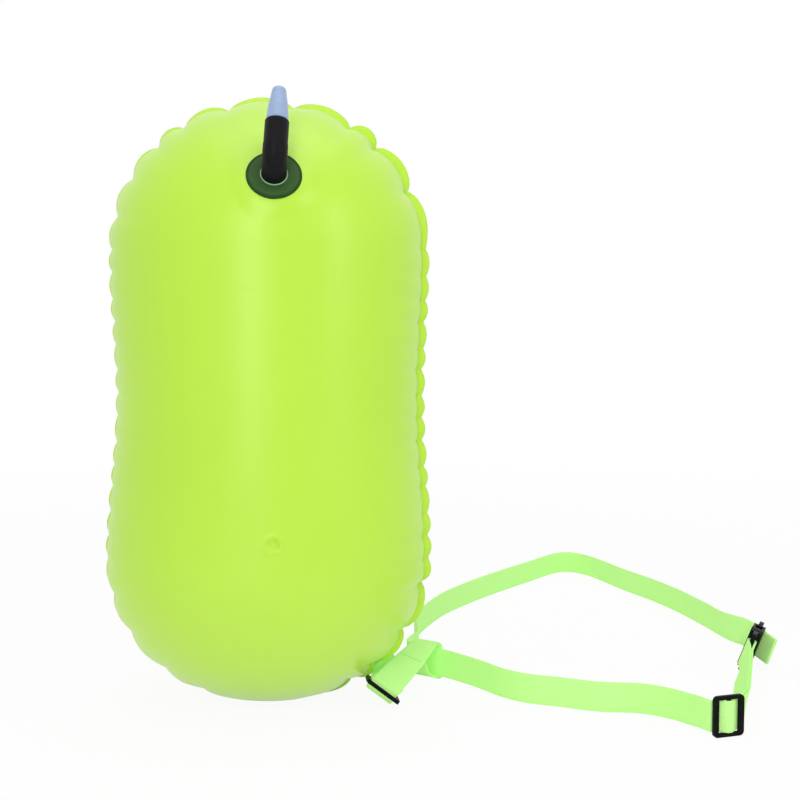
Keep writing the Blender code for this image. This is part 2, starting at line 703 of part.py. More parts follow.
def ring_of_wire(name, matrix, finish):
    """A rectangular ring of round wire: local X across the webbing, local Y along it."""
    curve = bpy.data.curves.new(name, "CURVE")
    curve.dimensions = "3D"
    curve.bevel_depth = BAR_RADIUS
    curve.bevel_resolution = 2
    half_x = RING_INNER_WIDTH / 2 + BAR_RADIUS
    half_y = RING_INNER_DEPTH / 2 + BAR_RADIUS
    corner = BAR_RADIUS * 2
    places = []
    for quarter, (sign_x, sign_y) in enumerate(((1, 1), (-1, 1), (-1, -1), (1, -1))):
        for step in range(4):
            angle = math.pi / 2 * (quarter + step / 3)
            places.append((sign_x * (half_x - corner) + corner * math.cos(angle),
                           sign_y * (half_y - corner) + corner * math.sin(angle), 0))
    spline = curve.splines.new("POLY")
    spline.points.add(len(places) - 1)
    for point, place in zip(spline.points, places):
        point.co = (*place, 1)
    spline.use_cyclic_u = True
    curve.materials.append(finish.copy())
    item = bpy.data.objects.new(name, curve)
    bpy.context.scene.collection.objects.link(item)
    item.matrix_world = matrix
    return item


def slider_frame():
    """The leash slider's centre, its direction across the webbing, along it and out of it."""
    across = Matrix.Rotation(LEASH_SLIDER_ROLL, 3, "Y") @ Vector((1, 0, 0))
    centre = Vector((LEASH_SLIDER_SIDE, -LEASH_SLIDER_FRONT, LEASH_SLIDER_HEIGHT))
    along = Vector((0, math.cos(LEASH_SLIDER_PITCH), -math.sin(LEASH_SLIDER_PITCH)))
    along = (along - across * along.dot(across)).normalized()
    up = across.cross(along)
    return centre, across, along, up


def loop_frame():
    """Where the leash holds the belt, the belt's direction there and the side it faces."""
    place = Vector((LOOP_SIDE, LOOP_BACK, 0))
    along = Vector((math.cos(LOOP_TURN), math.sin(LOOP_TURN), 0))
    return place, along, Vector((along.y, -along.x, 0))


def make_leash(anchor_bar, anchor_across):
    """The ring, the slider and the strap: round the ring, under the slider's bar, round the belt."""
    centre, across, along, up = slider_frame()
    tri_glide("leash_slider", frame_from(centre, along, across), BLACK_PLASTIC)
    ring_across = anchor_across if anchor_across.dot(across) > 0 else -anchor_across
    passing = Vector((FLANGE_PASS_SIDE, 0, FLANGE_PASS_HEIGHT))
    pull = passing - anchor_bar
    pull = (pull - ring_across * pull.dot(ring_across)).normalized()
    ring_reach = RING_INNER_DEPTH + BAR_RADIUS * 2
    under = ring_across.cross(pull)
    if under.z > 0:
        under = -under
    ring_of_wire("anchor_ring", frame_from(anchor_bar + pull * ring_reach / 2, ring_across, under),
                 BLACK_PLASTIC)
    ring_bar = anchor_bar + pull * ring_reach
    doubled = LAYER / 2
    tail = ring_bar + pull * LEASH_TAIL
    points = [(tail - under * doubled, ring_across),
              (ring_bar + pull * LEASH_TAIL / 2 - under * doubled, ring_across)]
    points += turn_round(ring_bar, -pull, -under, ring_across, TURN_RADIUS)
    points += [(ring_bar + pull * LEASH_TAIL / 2 + under * doubled, ring_across),
               (tail + under * doubled, ring_across)]
    start = points[-1][0]
    round_bar = math.hypot(SLIDER_MIDDLE_BAR, SLIDER_THICKNESS) / 2 + GAP + WEB_THICKNESS / 2
    over_bar = up * (SLIDER_THICKNESS / 2 + GAP * 2 + WEB_THICKNESS / 2)
    rear_edge = centre + along * (SLIDER_LENGTH / 2 + WEB_THICKNESS) + over_bar
    points += [(start.lerp(passing, 0.5), ring_across.lerp(across, 0.45)), (passing, across),
               (rear_edge, across), (centre + along * (SLIDER_LENGTH / 2 - SLIDER_BAR) + over_bar, across)]
    points += turn_round(centre, -up * SLIDER_BULGE, along, across, round_bar)
    place, belt_along, belt_out = loop_frame()
    crest = place + belt_out * LOOP_FRONT + Vector((0, 0, LOOP_HEIGHT))
    slot_exit = centre - along * round_bar + up * SLIDER_THICKNESS
    points.append((slot_exit, across))
    for share in (0.3, LAP_SHARE, 0.85):
        points.append((slot_exit.lerp(crest, share), across.lerp(belt_along, share)))
    points.append((crest, belt_along))
    low = place + Vector((0, 0, WEB_THICKNESS / 2 + FLOOR_GAP + LOOP_LIFT))
    behind = low - belt_out * LOOP_LIFT
    points += [(behind + Vector((0, 0, LOOP_HEIGHT * 0.84)), belt_along),
               (behind + Vector((0, 0, LOOP_HEIGHT * 0.4)), belt_along)]
    points += turn_round(low, Vector((0, 0, -1)), -belt_out, belt_along, LOOP_LIFT)
    seam = slot_exit.lerp(crest, LAP_SHARE)
    seam_across = across.lerp(belt_along, LAP_SHARE).normalized()
    strap_way = (crest - slot_exit).normalized()
    strap_up = seam_across.cross(strap_way).normalized()
    if strap_up.z < 0:
        strap_up = -strap_up
    inner = seam - strap_up * (LAYER + GAP * 4)
    leaving = low + belt_out * LOOP_LIFT * 3
    points += [(leaving, belt_along),
               (leaving.lerp(inner, 0.5) - strap_up * LAYER, belt_along.lerp(seam_across, 0.5)),
               (inner + strap_way * LEASH_TAIL / 3, seam_across),
               (inner - strap_way * LEASH_TAIL / 3, seam_across)]
    ribbon("leash_strap", points, WEBBING, step=WEB_STEP / 2)
    stitch_bar("leash_loop_stitch", seam + strap_up * WEB_THICKNESS / 2, seam_across, strap_up)
    stitch_bar("leash_ring_stitch", tail - pull * LEASH_TAIL / 4 - under * (doubled + WEB_THICKNESS / 2),
               ring_across, -under)


def belt_place(share):
    """A point of the belt's centre line, on edge on the floor."""
    right, back, lift = share
    place = Vector((LOOP_SIDE + right * BELT_SPAN, LOOP_BACK + back * BELT_SPAN, LIFT + lift * LOOP_LIFT))
    return place, Vector((0, 0, 1))


def belt_slider_frame():
    centre = Vector((BELT_SLIDER_SIDE, -BELT_SLIDER_FRONT, SLIDER_HEIGHT))
    along = Vector((math.cos(BELT_SLIDER_TURN), math.sin(BELT_SLIDER_TURN), 0))
    facing = Vector((along.y, -along.x, 0))
    return centre, along, facing


def buckle_frame():
    """The buckle's mouth, the way its socket points, its left and its leaning upright."""
    along = Vector((math.cos(BUCKLE_TURN), math.sin(BUCKLE_TURN), 0))
    upright = Matrix.Rotation(BUCKLE_LEAN, 3, along) @ Vector((0, 0, 1))
    mouth = Vector((BUCKLE_SIDE, BUCKLE_BACK, BUCKLE_HEIGHT))
    return mouth, along, upright.cross(along), upright


def make_near_belt():
    """The webbing from the leash loop through the slider, round the plug's bar and back."""
    centre, along, facing = belt_slider_frame()
    upright = Vector((0, 0, 1))
    points = [belt_place(share) for share in NEAR_ROUTE_SHARES]
    half_window = SLIDER_LENGTH / 2 - SLIDER_BAR
    clear = SLIDER_THICKNESS / 2 + GAP + WEB_THICKNESS * 0.66
    for place, side in ((-SLIDER_LENGTH / 2, -clear * 1.25), (-half_window, -clear),
                        (-SLIDER_MIDDLE_BAR / 2, clear), (SLIDER_MIDDLE_BAR / 2, clear),
                        (half_window, -clear), (SLIDER_LENGTH / 2 + WEB_THICKNESS, -clear * 1.1)):
        points.append((centre + along * place + facing * side, upright))
    mouth, axis, left, leaning = buckle_frame()
    bar = mouth - axis * PLUG_BAR_MIDDLE
    start = points[-1][0] + along * WEB_THICKNESS * 2
    way = bar - start
    right = Vector((way.y, -way.x, 0))
    left_layer, right_layer = [], []
    for share, bow, lean_share in STRAP_ROUTE_SHARES:
        place = start + way * share + right * bow
        across = Matrix.Rotation(BUCKLE_LEAN * lean_share, 3, way) @ upright
        beside = across.cross(way).normalized()
        left_layer.append((place + beside * LAYER * 0.6, across))
        right_layer.append((place - beside * LAYER * 0.6, across))
    points += right_layer
    points += turn_round(bar, axis, -left, leaning, PLUG_TURN_RADIUS)
    points += reversed(left_layer)
    behind = centre - facing * (clear * 1.1 + LAYER * 1.8)
    points += [(behind + along * (SLIDER_LENGTH / 2 - WEB_THICKNESS), upright),
               (behind + along * half_window / 2, upright)]
    ribbon("belt_near_strand", points, WEBBING)


def make_far_belt():
    mouth, along, left, upright = buckle_frame()
    slot = mouth + along * SLOT_MIDDLE
    points = [belt_place(share) for share in FAR_ROUTE_SHARES]

    def through(ahead, aside):
        keep = SETTLE_SHARE if ahead > SETTLE_FROM else 1.0
        way = along * ahead + Vector((left.x, left.y, left.z * keep)) * aside
        return slot + way * SHELL_LENGTH, upright

    points += [through(*shares) for shares in THROUGH_SHARES]
    tip, before = points[-1][0], points[-2][0]
    way = (tip - before).normalized()
    spread = way.cross(upright)
    if spread.dot(along) < 0:
        spread = -spread
    points += turn_round(tip + spread * LOOP_LIFT / 2, way, -spread, upright, LOOP_LIFT / 2)[1:-1]
    points += [through(*shares) for shares in RETURN_SHARES]
    ribbon("belt_far_strand", points, WEBBING)
    way = (points[-1][0] - points[-2][0]).normalized()
    outer = way.cross(upright).normalized()
    if outer.dot(left) > 0:
        outer = -outer
    place = points[-1][0].lerp(points[-2][0], 0.3) + outer * WEB_THICKNESS / 2
    stitch_bar("far_tail_stitch", place, outer.cross(way), outer)


def block(name, low, high, matrix, finish, corner=0.0):
    """A box given in a local frame, with its upright edges rounded where corner isn't zero."""
    bm = bmesh.new()
    box_mesh(bm, low, high)
    if corner:
        edges = [edge for edge in bm.edges if abs(edge.verts[0].co.y - edge.verts[1].co.y) > GAP]
        bmesh.ops.bevel(bm, geom=edges, offset=corner, segments=3, profile=0.5, affect="EDGES", material=-1)
    return new_object(name, mesh_from(bm, name), finish, matrix)


def make_buckle():
    """A socket with finger windows, and a plug with a tongue and two springy prongs."""
    mouth, along, left, upright = buckle_frame()
    matrix = frame_from(mouth, along, upright)
    half, thick, over = BUCKLE_HALF_WIDTH, BUCKLE_HALF_THICKNESS, CUT_OVERRUN
    socket = block("buckle_socket", (GAP, -thick, -half), (SHELL_LENGTH, thick, half), matrix,
                   BLACK_PLASTIC, BUCKLE_CORNER)
    rail = block("socket_rail", (SHELL_LENGTH - over, -RAIL_HALF_THICKNESS, -half),
                 (SOCKET_END, RAIL_HALF_THICKNESS, half), matrix, BLACK_PLASTIC, BUCKLE_CORNER)
    cut(socket, rail, "UNION")
    inner = half - SOCKET_WALL
    cavity = block("socket_cavity", (-over, -thick + SOCKET_WALL, -inner),
                   (SOCKET_CAVITY_DEPTH, thick - SOCKET_WALL, inner), matrix, BLACK_PLASTIC)
    cut(socket, cavity)
    window = block("socket_window", (WINDOW_START, -thick + SOCKET_WALL, -half - over),
                   (WINDOW_START + WINDOW_LENGTH, thick - SOCKET_WALL, half + over), matrix, BLACK_PLASTIC)
    cut(socket, window)
    slot = block("socket_slot", (SHELL_LENGTH + SLOT_LEAD, -thick, -SLOT_HALF_WIDTH),
                 (SHELL_LENGTH + SLOT_LEAD + WEB_SLOT, thick, SLOT_HALF_WIDTH), matrix, BLACK_PLASTIC)
    cut(socket, slot)

    plug_thick = thick - SOCKET_WALL / 2
    plug = block("buckle_plug", (-PLUG_NECK, -plug_thick, -half), (-GAP, plug_thick, half), matrix,
                 BLACK_PLASTIC, BUCKLE_CORNER / 3)
    frame_end = -PLUG_BAR_MIDDLE - BAR_RADIUS
    rail = block("plug_rail", (frame_end, -RAIL_HALF_THICKNESS, -half),
                 (-PLUG_NECK + over, RAIL_HALF_THICKNESS, half), matrix, BLACK_PLASTIC, BUCKLE_CORNER / 2)
    cut(plug, rail, "UNION")
    slot = block("plug_slot", (-PLUG_NECK - WEB_SLOT, -thick, -SLOT_HALF_WIDTH),
                 (-PLUG_NECK, thick, SLOT_HALF_WIDTH), matrix, BLACK_PLASTIC)
    cut(plug, slot)
    tongue = block("plug_tongue", (-over, -PRONG_HALF_THICKNESS, -TONGUE_HALF_HEIGHT),
                   (TONGUE_LENGTH, PRONG_HALF_THICKNESS, TONGUE_HALF_HEIGHT), matrix, BLACK_PLASTIC)
    cut(plug, tongue, "UNION")
    for name, sign in (("release_prong_upper", 1), ("release_prong_lower", -1)):
        make_prong(name, sign, mouth, along, upright)


def make_prong(name, sign, mouth, along, upright):
    """A prong with a finger pad at its head, turning at its root on the plug."""
    outer = BUCKLE_HALF_WIDTH - SOCKET_WALL - GAP
    root = mouth + upright * sign * (outer - PRONG_HEIGHT / 2) + along * PRONG_ROOT_GAP
    place = frame_from(root, along, upright)
    half = PRONG_HEIGHT / 2
    low, high = sorted((sign * half, sign * (half - PRONG_HEAD)))
    prong = block(name, (0, -PRONG_HALF_THICKNESS, -half), (PRONG_LENGTH, PRONG_HALF_THICKNESS, half),
                  place, BLACK_PLASTIC, half / 3)
    head = block(name + "_head", (PRONG_LENGTH - WINDOW_LENGTH, -PRONG_HALF_THICKNESS, low),
                 (PRONG_LENGTH, PRONG_HALF_THICKNESS, high), place, BLACK_PLASTIC, half / 2)
    cut(prong, head, "UNION")


def main():
    clear_scene()
    front = film_panel("front_panel", -1, LIME_FILM)
    back = film_panel("back_panel", 1, LIME_FILM)
    make_valve(front)
    bar, across = make_anchor(back)
    make_leash(bar, across)
    make_near_belt()
    make_far_belt()
    centre, along, facing = belt_slider_frame()
    tri_glide("belt_slider", frame_from(centre, along, Vector((0, 0, 1))), BLACK_PLASTIC)
    make_buckle()


LIME_FILM = material("lime_film", (0.53, 0.89, 0.08), 0.42)
BLACK_RUBBER = material("black_rubber", (0.016, 0.015, 0.016), 0.45)
BLACK_PLASTIC = material("black_plastic", (0.014, 0.014, 0.015), 0.4)
BLUE_PLASTIC = material("pale_blue_plastic", (0.43, 0.55, 0.76), 0.35)
NATURAL_PLASTIC = material("natural_plastic", (0.75, 0.76, 0.72), 0.4)
CLEAR_WELD = material("weld_bead", (0.30, 0.55, 0.30), 0.35)
WEBBING = material("green_webbing", (0.45, 0.95, 0.25), 0.75)
THREAD = material("green_thread", (0.30, 0.80, 0.20), 0.7)

main()
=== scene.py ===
# %% [markdown]
# # An open water swim buoy
# A swimmer tows this buoy on a waist belt. It is a welded film bladder with a
# mouth valve near its top, and it stands on its lower end with the belt laid
# on edge beside it. Measures are in metres, and only the places along straps
# and of stitches are in millimetres. +Z is up and the valve faces -Y. The
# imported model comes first, because each piece below rides on one of its bodies
# and keeps inside the space of the solid that it stands for.

# %% Load the frame
import math
import random

import bmesh
import bpy
from mathutils import Matrix, Vector


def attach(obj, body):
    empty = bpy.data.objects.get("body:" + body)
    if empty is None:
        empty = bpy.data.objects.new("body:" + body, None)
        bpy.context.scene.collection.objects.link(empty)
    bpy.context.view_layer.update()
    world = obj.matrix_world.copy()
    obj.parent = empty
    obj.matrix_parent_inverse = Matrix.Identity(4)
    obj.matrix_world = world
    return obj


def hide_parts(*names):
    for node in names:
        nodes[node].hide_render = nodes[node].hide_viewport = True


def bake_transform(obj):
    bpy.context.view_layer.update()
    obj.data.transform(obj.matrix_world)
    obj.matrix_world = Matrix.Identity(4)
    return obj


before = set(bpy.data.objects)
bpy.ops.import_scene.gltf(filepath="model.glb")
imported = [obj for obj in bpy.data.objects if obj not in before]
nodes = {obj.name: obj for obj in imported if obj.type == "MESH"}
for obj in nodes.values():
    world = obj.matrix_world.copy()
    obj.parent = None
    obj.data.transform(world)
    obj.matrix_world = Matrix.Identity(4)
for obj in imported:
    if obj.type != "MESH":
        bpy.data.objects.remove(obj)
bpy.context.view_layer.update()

# %% [markdown]
# The camera comes before any piece, so that each one can be judged from the
# same place as the photograph. The lens is a short telephoto a metre away,
# tipped a little down, which shows the lower end's curve on the floor.

# %% Camera
CAMERA_PLACE = (0.110, -1.050, 0.325)
CAMERA_DIP = math.radians(4)
LENS_MM = 56.7


def add_object(name, data):
    item = bpy.data.objects.new(name, data)
    bpy.context.scene.collection.objects.link(item)
    return item


lens = bpy.data.cameras.new("view")
lens.lens = LENS_MM
camera = add_object("view", lens)
camera.location = CAMERA_PLACE
camera.rotation_euler = (math.radians(90) - CAMERA_DIP, 0, 0)
bpy.context.scene.camera = camera
print("field of view:", round(math.degrees(lens.angle), 1), "degrees")

# %% [markdown]
# Shaders are node trees, and writing them out link by link is slow to read.
# Small helpers add a node, do one step of arithmetic, mix two colours, fit a
# value into another range, and fetch or split coordinates. A number goes on
# the socket itself and a socket is linked, so one call serves both.

# %% Node helpers
def add_node(tree, kind, **settings):
    item = tree.nodes.new(kind)
    for name, value in settings.items():
        setattr(item, name, value)
    return item


def feed(tree, value, socket):
    if isinstance(value, bpy.types.NodeSocket):
        tree.links.new(value, socket)
    else:
        socket.default_value = value


def calc(tree, operation, *values):
    item = add_node(tree, "ShaderNodeMath", operation=operation)
    for value, socket in zip(values, item.inputs):
        feed(tree, value, socket)
    return item.outputs[0]


def mix_colour(tree, share, first, second):
    item = add_node(tree, "ShaderNodeMix", data_type="RGBA")
    for value, socket in zip((share, first, second), (item.inputs[0], item.inputs[6], item.inputs[7])):
        feed(tree, value, socket)
    return item.outputs[2]


def spread(tree, value, low, high):
    """A mask from 0 to 1 stretched between two other numbers."""
    return calc(tree, "MULTIPLY_ADD", value, high - low, low)


def eased(tree, value, from_low, from_high, to_low, to_high):
    item = add_node(tree, "ShaderNodeMapRange", interpolation_type="SMOOTHSTEP")
    for amount, socket in zip((value, from_low, from_high, to_low, to_high), item.inputs):
        feed(tree, amount, socket)
    return item.outputs[0]


def object_place(tree):
    return add_node(tree, "ShaderNodeTexCoord").outputs["Object"]


def split(tree, vector):
    item = add_node(tree, "ShaderNodeSeparateXYZ")
    tree.links.new(vector, item.inputs[0])
    return item.outputs


def strap_uv(tree):
    return split(tree, add_node(tree, "ShaderNodeUVMap", uv_map="strap").outputs["UV"])


# %% [markdown]
# An effect that several finishes share is a node group with named sockets.
# The first one is a fine moulding grain: two layers of noise on the object's
# own coordinates, so it stays put when the piece moves. It gives a height for
# bump, and a broad tone that drifts slowly over the surface.

# %% Group: fine grain
COARSE_SCALE_SHARE = 0.21
COARSE_HEIGHT_SHARE = 0.6
TONE_DETAIL = 3.0


def new_group(name, inputs, outputs):
    tree = bpy.data.node_groups.new(name, "ShaderNodeTree")
    for label, start in inputs:
        tree.interface.new_socket(label, in_out="INPUT", socket_type="NodeSocketFloat").default_value = start
    for label in outputs:
        tree.interface.new_socket(label, in_out="OUTPUT", socket_type="NodeSocketFloat")
    return tree, add_node(tree, "NodeGroupInput"), add_node(tree, "NodeGroupOutput")


def noise_at(tree, place, scale, detail=2.0):
    item = add_node(tree, "ShaderNodeTexNoise")
    feed(tree, place, item.inputs["Vector"])
    feed(tree, scale, item.inputs["Scale"])
    item.inputs["Detail"].default_value = detail
    return item.outputs["Fac"]


grain, here, out = new_group("fine_grain", (("Grain scale", 900.0), ("Tone scale", 14.0)), ("Height", "Tone"))
place = object_place(grain)
fine = noise_at(grain, place, here.outputs["Grain scale"])
coarse = noise_at(grain, place, calc(grain, "MULTIPLY", here.outputs["Grain scale"], COARSE_SCALE_SHARE))
feed(grain, calc(grain, "MULTIPLY_ADD", coarse, COARSE_HEIGHT_SHARE, fine), out.inputs["Height"])
feed(grain, noise_at(grain, place, here.outputs["Tone scale"], TONE_DETAIL), out.inputs["Tone"])
print("group:", grain.name)

# %% [markdown]
# The second group is handling wear: sparse, thin scratches. Noise pulled out
# along one direction makes long streaks, and a steep threshold leaves only
# the crests of them.

# %% Group: fine scratches
STREAK_WAYS = ((0.6, (1.0, 14.0, 1.0)), (2.1, (1.0, 1.0, 11.0)))
STREAK_DETAIL = 4.0
STREAK_CREST = 0.64

scratches, here, out = new_group("fine_scratches", (("Scale", 60.0), ("Amount", 0.5)), ("Mask",))
place = object_place(scratches)
streaks = []
for turn, stretch in STREAK_WAYS:
    mapping = add_node(scratches, "ShaderNodeMapping")
    mapping.inputs["Rotation"].default_value = (turn, turn / 2, turn)
    mapping.inputs["Scale"].default_value = stretch
    feed(scratches, place, mapping.inputs["Vector"])
    noise_value = noise_at(scratches, mapping.outputs["Vector"], here.outputs["Scale"], STREAK_DETAIL)
    streaks.append(calc(scratches, "GREATER_THAN", noise_value, STREAK_CREST))
both = calc(scratches, "MAXIMUM", *streaks)
feed(scratches, calc(scratches, "MULTIPLY", both, here.outputs["Amount"]), out.inputs["Mask"])
print("group:", scratches.name)

# %% [markdown]
# The third group is the weave of the webbing. Its thick weft threads show as
# ribs across the strap, and the fine warp threads bind them in two offset
# sets, so every second column of ribs starts half a pitch later. It follows
# the UV map, which holds the distance along and across the strap in metres.

# %% Group: webbing weave
RIB_PITCH = 0.0013
WARP_PITCH = 0.0011
WARP_SHARE = 0.45
SHADE_SHARE = 0.69


def ridges(tree, value):
    """Round ridges, one to each whole step of the value."""
    return calc(tree, "ABSOLUTE", calc(tree, "SINE", calc(tree, "MULTIPLY", value, math.pi)))


weave, here, out = new_group("webbing_weave", (("Rib pitch", RIB_PITCH), ("Warp pitch", WARP_PITCH)),
                             ("Height", "Shade"))
uv = strap_uv(weave)
along = calc(weave, "DIVIDE", uv["X"], here.outputs["Rib pitch"])
across = calc(weave, "DIVIDE", uv["Y"], here.outputs["Warp pitch"])
offset = calc(weave, "MULTIPLY", calc(weave, "PINGPONG", calc(weave, "FLOOR", across), 1.0), 0.5)
rib = ridges(weave, calc(weave, "ADD", along, offset))
height = calc(weave, "MULTIPLY_ADD", ridges(weave, across), WARP_SHARE, rib)
feed(weave, height, out.inputs["Height"])
feed(weave, calc(weave, "MULTIPLY", height, SHADE_SHARE), out.inputs["Shade"])
print("group:", weave.name, "ribs per centimetre:", round(0.01 / RIB_PITCH, 1))

# %% [markdown]
# Each finish keeps its own Principled shader, and its plain numbers stay on
# that shader's sockets. The helpers make the material, place a group in it,
# link its colour and add its bump.

# %% Finish helpers
def new_finish(name, colour, roughness, **sockets):
    finish = bpy.data.materials.new(name)
    finish.use_nodes = True
    shader = finish.node_tree.nodes["Principled BSDF"]
    shader.inputs["Base Color"].default_value = (*colour, 1.0)
    shader.inputs["Roughness"].default_value = roughness
    for label, value in sockets.items():
        shader.inputs[label.replace("_", " ")].default_value = value
    return finish, finish.node_tree, shader


def use_group(tree, group, **values):
    item = add_node(tree, "ShaderNodeGroup", node_tree=group)
    for label, value in values.items():
        item.inputs[label.replace("_", " ")].default_value = value
    return item.outputs


def paint(tree, shader, share, first, second):
    feed(tree, mix_colour(tree, share, first, second), shader.inputs["Base Color"])


def add_bump(tree, shader, height, distance, strength=1.0):
    bump = add_node(tree, "ShaderNodeBump")
    bump.inputs["Distance"].default_value = distance
    bump.inputs["Strength"].default_value = strength
    feed(tree, height, bump.inputs["Height"])
    feed(tree, bump.outputs["Normal"], shader.inputs["Normal"])


# %% [markdown]
# The bladder's film is a fluorescent lime, satin and very even. What gives it
# What gives it away as film is a slow drift of tone, a grain too fine to count and a few soft scuffs in the
# gloss. The weld flange is two films pressed together, with the crossed lines of the welding bar in them, and
# its brighter lime is a painted glow of the light that passes through the thin flange.

# %% Finish: lime film and its weld
LIME = (0.540, 0.880, 0.040)
LIME_DEEP = (0.490, 0.840, 0.028)
LIME_FOOT_PAINTED_LIGHT = (0.560, 0.850, 0.090)
LIME_WELD_PAINTED_GLOW = (0.575, 0.940, 0.052)
FOOT_LIGHT_TOP = 0.17
FOOT_LIGHT_BASE = 0.01
FOOT_LIGHT_SHARE = 0.8
FILM_ROUGHNESS = (0.35, 0.48)
FILM_GRAIN_DEPTH = 0.00006
WELD_LINE_PITCH = 0.0016
WELD_LINE_DEPTH = 0.00010
WELD_TINT_SHARES = (0.2, 0.5)

lime_film, tree, shader = new_finish("lime_film", LIME, 0.40, Sheen_Weight=0.12, Sheen_Roughness=0.5,
                                     Specular_IOR_Level=0.7)
outs = use_group(tree, grain, Grain_scale=1400.0, Tone_scale=9.0)
body = mix_colour(tree, outs["Tone"], (*LIME, 1), (*LIME_DEEP, 1))
level = split(tree, object_place(tree))["Z"]
# Painted light: low down, towards the floor, the film is painted a paler, greyer lime.
painted_foot_light = eased(tree, level, FOOT_LIGHT_TOP, FOOT_LIGHT_BASE, 0.0, FOOT_LIGHT_SHARE)
paint(tree, shader, painted_foot_light, body, (*LIME_FOOT_PAINTED_LIGHT, 1))
scuffs = use_group(tree, scratches, Scale=26.0, Amount=0.5)
feed(tree, spread(tree, scuffs["Mask"], *FILM_ROUGHNESS), shader.inputs["Roughness"])
add_bump(tree, shader, outs["Height"], FILM_GRAIN_DEPTH, strength=0.5)

# The weld's brighter lime is a painted glow of the light that passes through the thin flange.
lime_weld, tree, shader = new_finish("lime_weld", LIME_WELD_PAINTED_GLOW, 0.45)
uv = strap_uv(tree)
lines = []
for sign in (1.0, -1.0):
    slant = calc(tree, "MULTIPLY_ADD", uv["Y"], sign, uv["X"])
    lines.append(calc(tree, "SINE", calc(tree, "MULTIPLY", slant, math.tau / WELD_LINE_PITCH)))
crossed = calc(tree, "MAXIMUM", *lines)
paint(tree, shader, spread(tree, crossed, *WELD_TINT_SHARES), (*LIME_WELD_PAINTED_GLOW, 1), (*LIME, 1))
add_bump(tree, shader, crossed, WELD_LINE_DEPTH)
print("finishes:", lime_film.name, lime_weld.name)

# %% [markdown]
# The strap is a lighter, cooler green than the bladder. The gaps between its ribs get a painted shade from
# the weave, and the yarn scatters light at its edges, which a little sheen gives. Its dye is fluorescent, so
# it gives back more light in its own colour than a plain dye could, and a weak emission paints that in as a
# painted glow, there whatever the lamps do. The sewing thread is one step darker.

# %% Finish: webbing and thread
WEB_GREEN = (0.620, 1.000, 0.360)
WEB_GREEN_GAP_SHADE = (0.430, 0.900, 0.220)
WEB_PAINTED_GLOW = 0.20
WEAVE_DEPTH = 0.00022
THREAD_GREEN = (0.300, 0.720, 0.180)
THREAD_GREEN_LIGHT = (0.380, 0.840, 0.240)
THREAD_DEPTH = 0.00008

webbing, tree, shader = new_finish("green_webbing", WEB_GREEN, 0.78, Sheen_Weight=0.02, Sheen_Roughness=0.4,
                                   Specular_IOR_Level=0.06, Emission_Strength=WEB_PAINTED_GLOW)
outs = use_group(tree, weave)
# Painted shade: the gaps between the weave's ribs are painted a deeper green.
woven = mix_colour(tree, outs["Shade"], (*WEB_GREEN_GAP_SHADE, 1), (*WEB_GREEN, 1))
feed(tree, woven, shader.inputs["Base Color"])
# Painted glow: the strap emits a little light in its own colour.
feed(tree, woven, shader.inputs["Emission Color"])
add_bump(tree, shader, outs["Height"], WEAVE_DEPTH)

thread, tree, shader = new_finish("green_thread", THREAD_GREEN, 0.65, Sheen_Weight=0.2)
outs = use_group(tree, grain, Grain_scale=2600.0, Tone_scale=300.0)
paint(tree, shader, outs["Tone"], (*THREAD_GREEN, 1), (*THREAD_GREEN_LIGHT, 1))
add_bump(tree, shader, outs["Height"], THREAD_DEPTH)
print("finishes:", webbing.name, thread.name)

# %% [markdown]
# The hard parts are injection moulded: black acetal for the sliders and the
# buckle, black rubber for the tube, pale blue for the mouthpiece. Scratches
# lift the roughness of the black plastic, and mouths and fingers dull the
# blue one softly.

# %% Finish: plastics and rubber
TONE_WEAR_SHARE = 0.35


def moulded(name, colour, worn, roughness, worn_roughness, grain_scale, scratch_scale, depth, shine=0.5):
    finish, tree, shader = new_finish(name, colour, roughness, Specular_IOR_Level=shine)
    outs = use_group(tree, grain, Grain_scale=grain_scale, Tone_scale=60.0)
    marks = use_group(tree, scratches, Scale=scratch_scale, Amount=0.8)["Mask"]
    share = calc(tree, "MAXIMUM", marks, calc(tree, "MULTIPLY", outs["Tone"], TONE_WEAR_SHARE))
    paint(tree, shader, share, (*colour, 1), (*worn, 1))
    feed(tree, spread(tree, share, roughness, worn_roughness), shader.inputs["Roughness"])
    add_bump(tree, shader, outs["Height"], depth)
    return finish


black_plastic = moulded(
    "black_plastic", (0.004, 0.005, 0.005), (0.012, 0.013, 0.013), 0.34, 0.50, 2200.0, 90.0, 0.00003,
    shine=0.06)
black_rubber = moulded(
    "black_rubber", (0.005, 0.005, 0.006), (0.012, 0.011, 0.013), 0.40, 0.58, 3000.0, 70.0, 0.00005,
    shine=0.11)
blue_plastic = moulded(
    "pale_blue_plastic", (0.300, 0.415, 0.640), (0.360, 0.475, 0.690), 0.28, 0.46, 1800.0, 80.0, 0.00002)
natural_plastic = moulded(
    "natural_plastic", (0.700, 0.710, 0.670), (0.600, 0.610, 0.570), 0.40, 0.50, 1800.0, 80.0, 0.00003)
weld_bead = moulded(
    "weld_bead", (0.300, 0.540, 0.300), (0.380, 0.640, 0.360), 0.25, 0.40, 1500.0, 120.0, 0.00004)
print("finishes:", black_plastic.name, black_rubber.name, blue_plastic.name)

# %% [markdown]
# Three helpers place what is modelled. The first builds a placing matrix from
# two directions. The second wraps a flat grid: bmesh makes the grid with its
# faces in order, and each point is then put where a rule says, so the bladder,
# its flange and every strap share one method. The third turns a finished
# bmesh into a piece that rides on a body.

# %% Modelling helpers
MERGE = 0.000002


def placed(origin, x_axis, z_axis):
    x_dir = Vector(x_axis).normalized()
    z_dir = Vector(z_axis)
    z_dir = (z_dir - x_dir * z_dir.dot(x_dir)).normalized()
    turn = Matrix((x_dir, z_dir.cross(x_dir), z_dir)).transposed().to_4x4()
    return Matrix.Translation(origin) @ turn


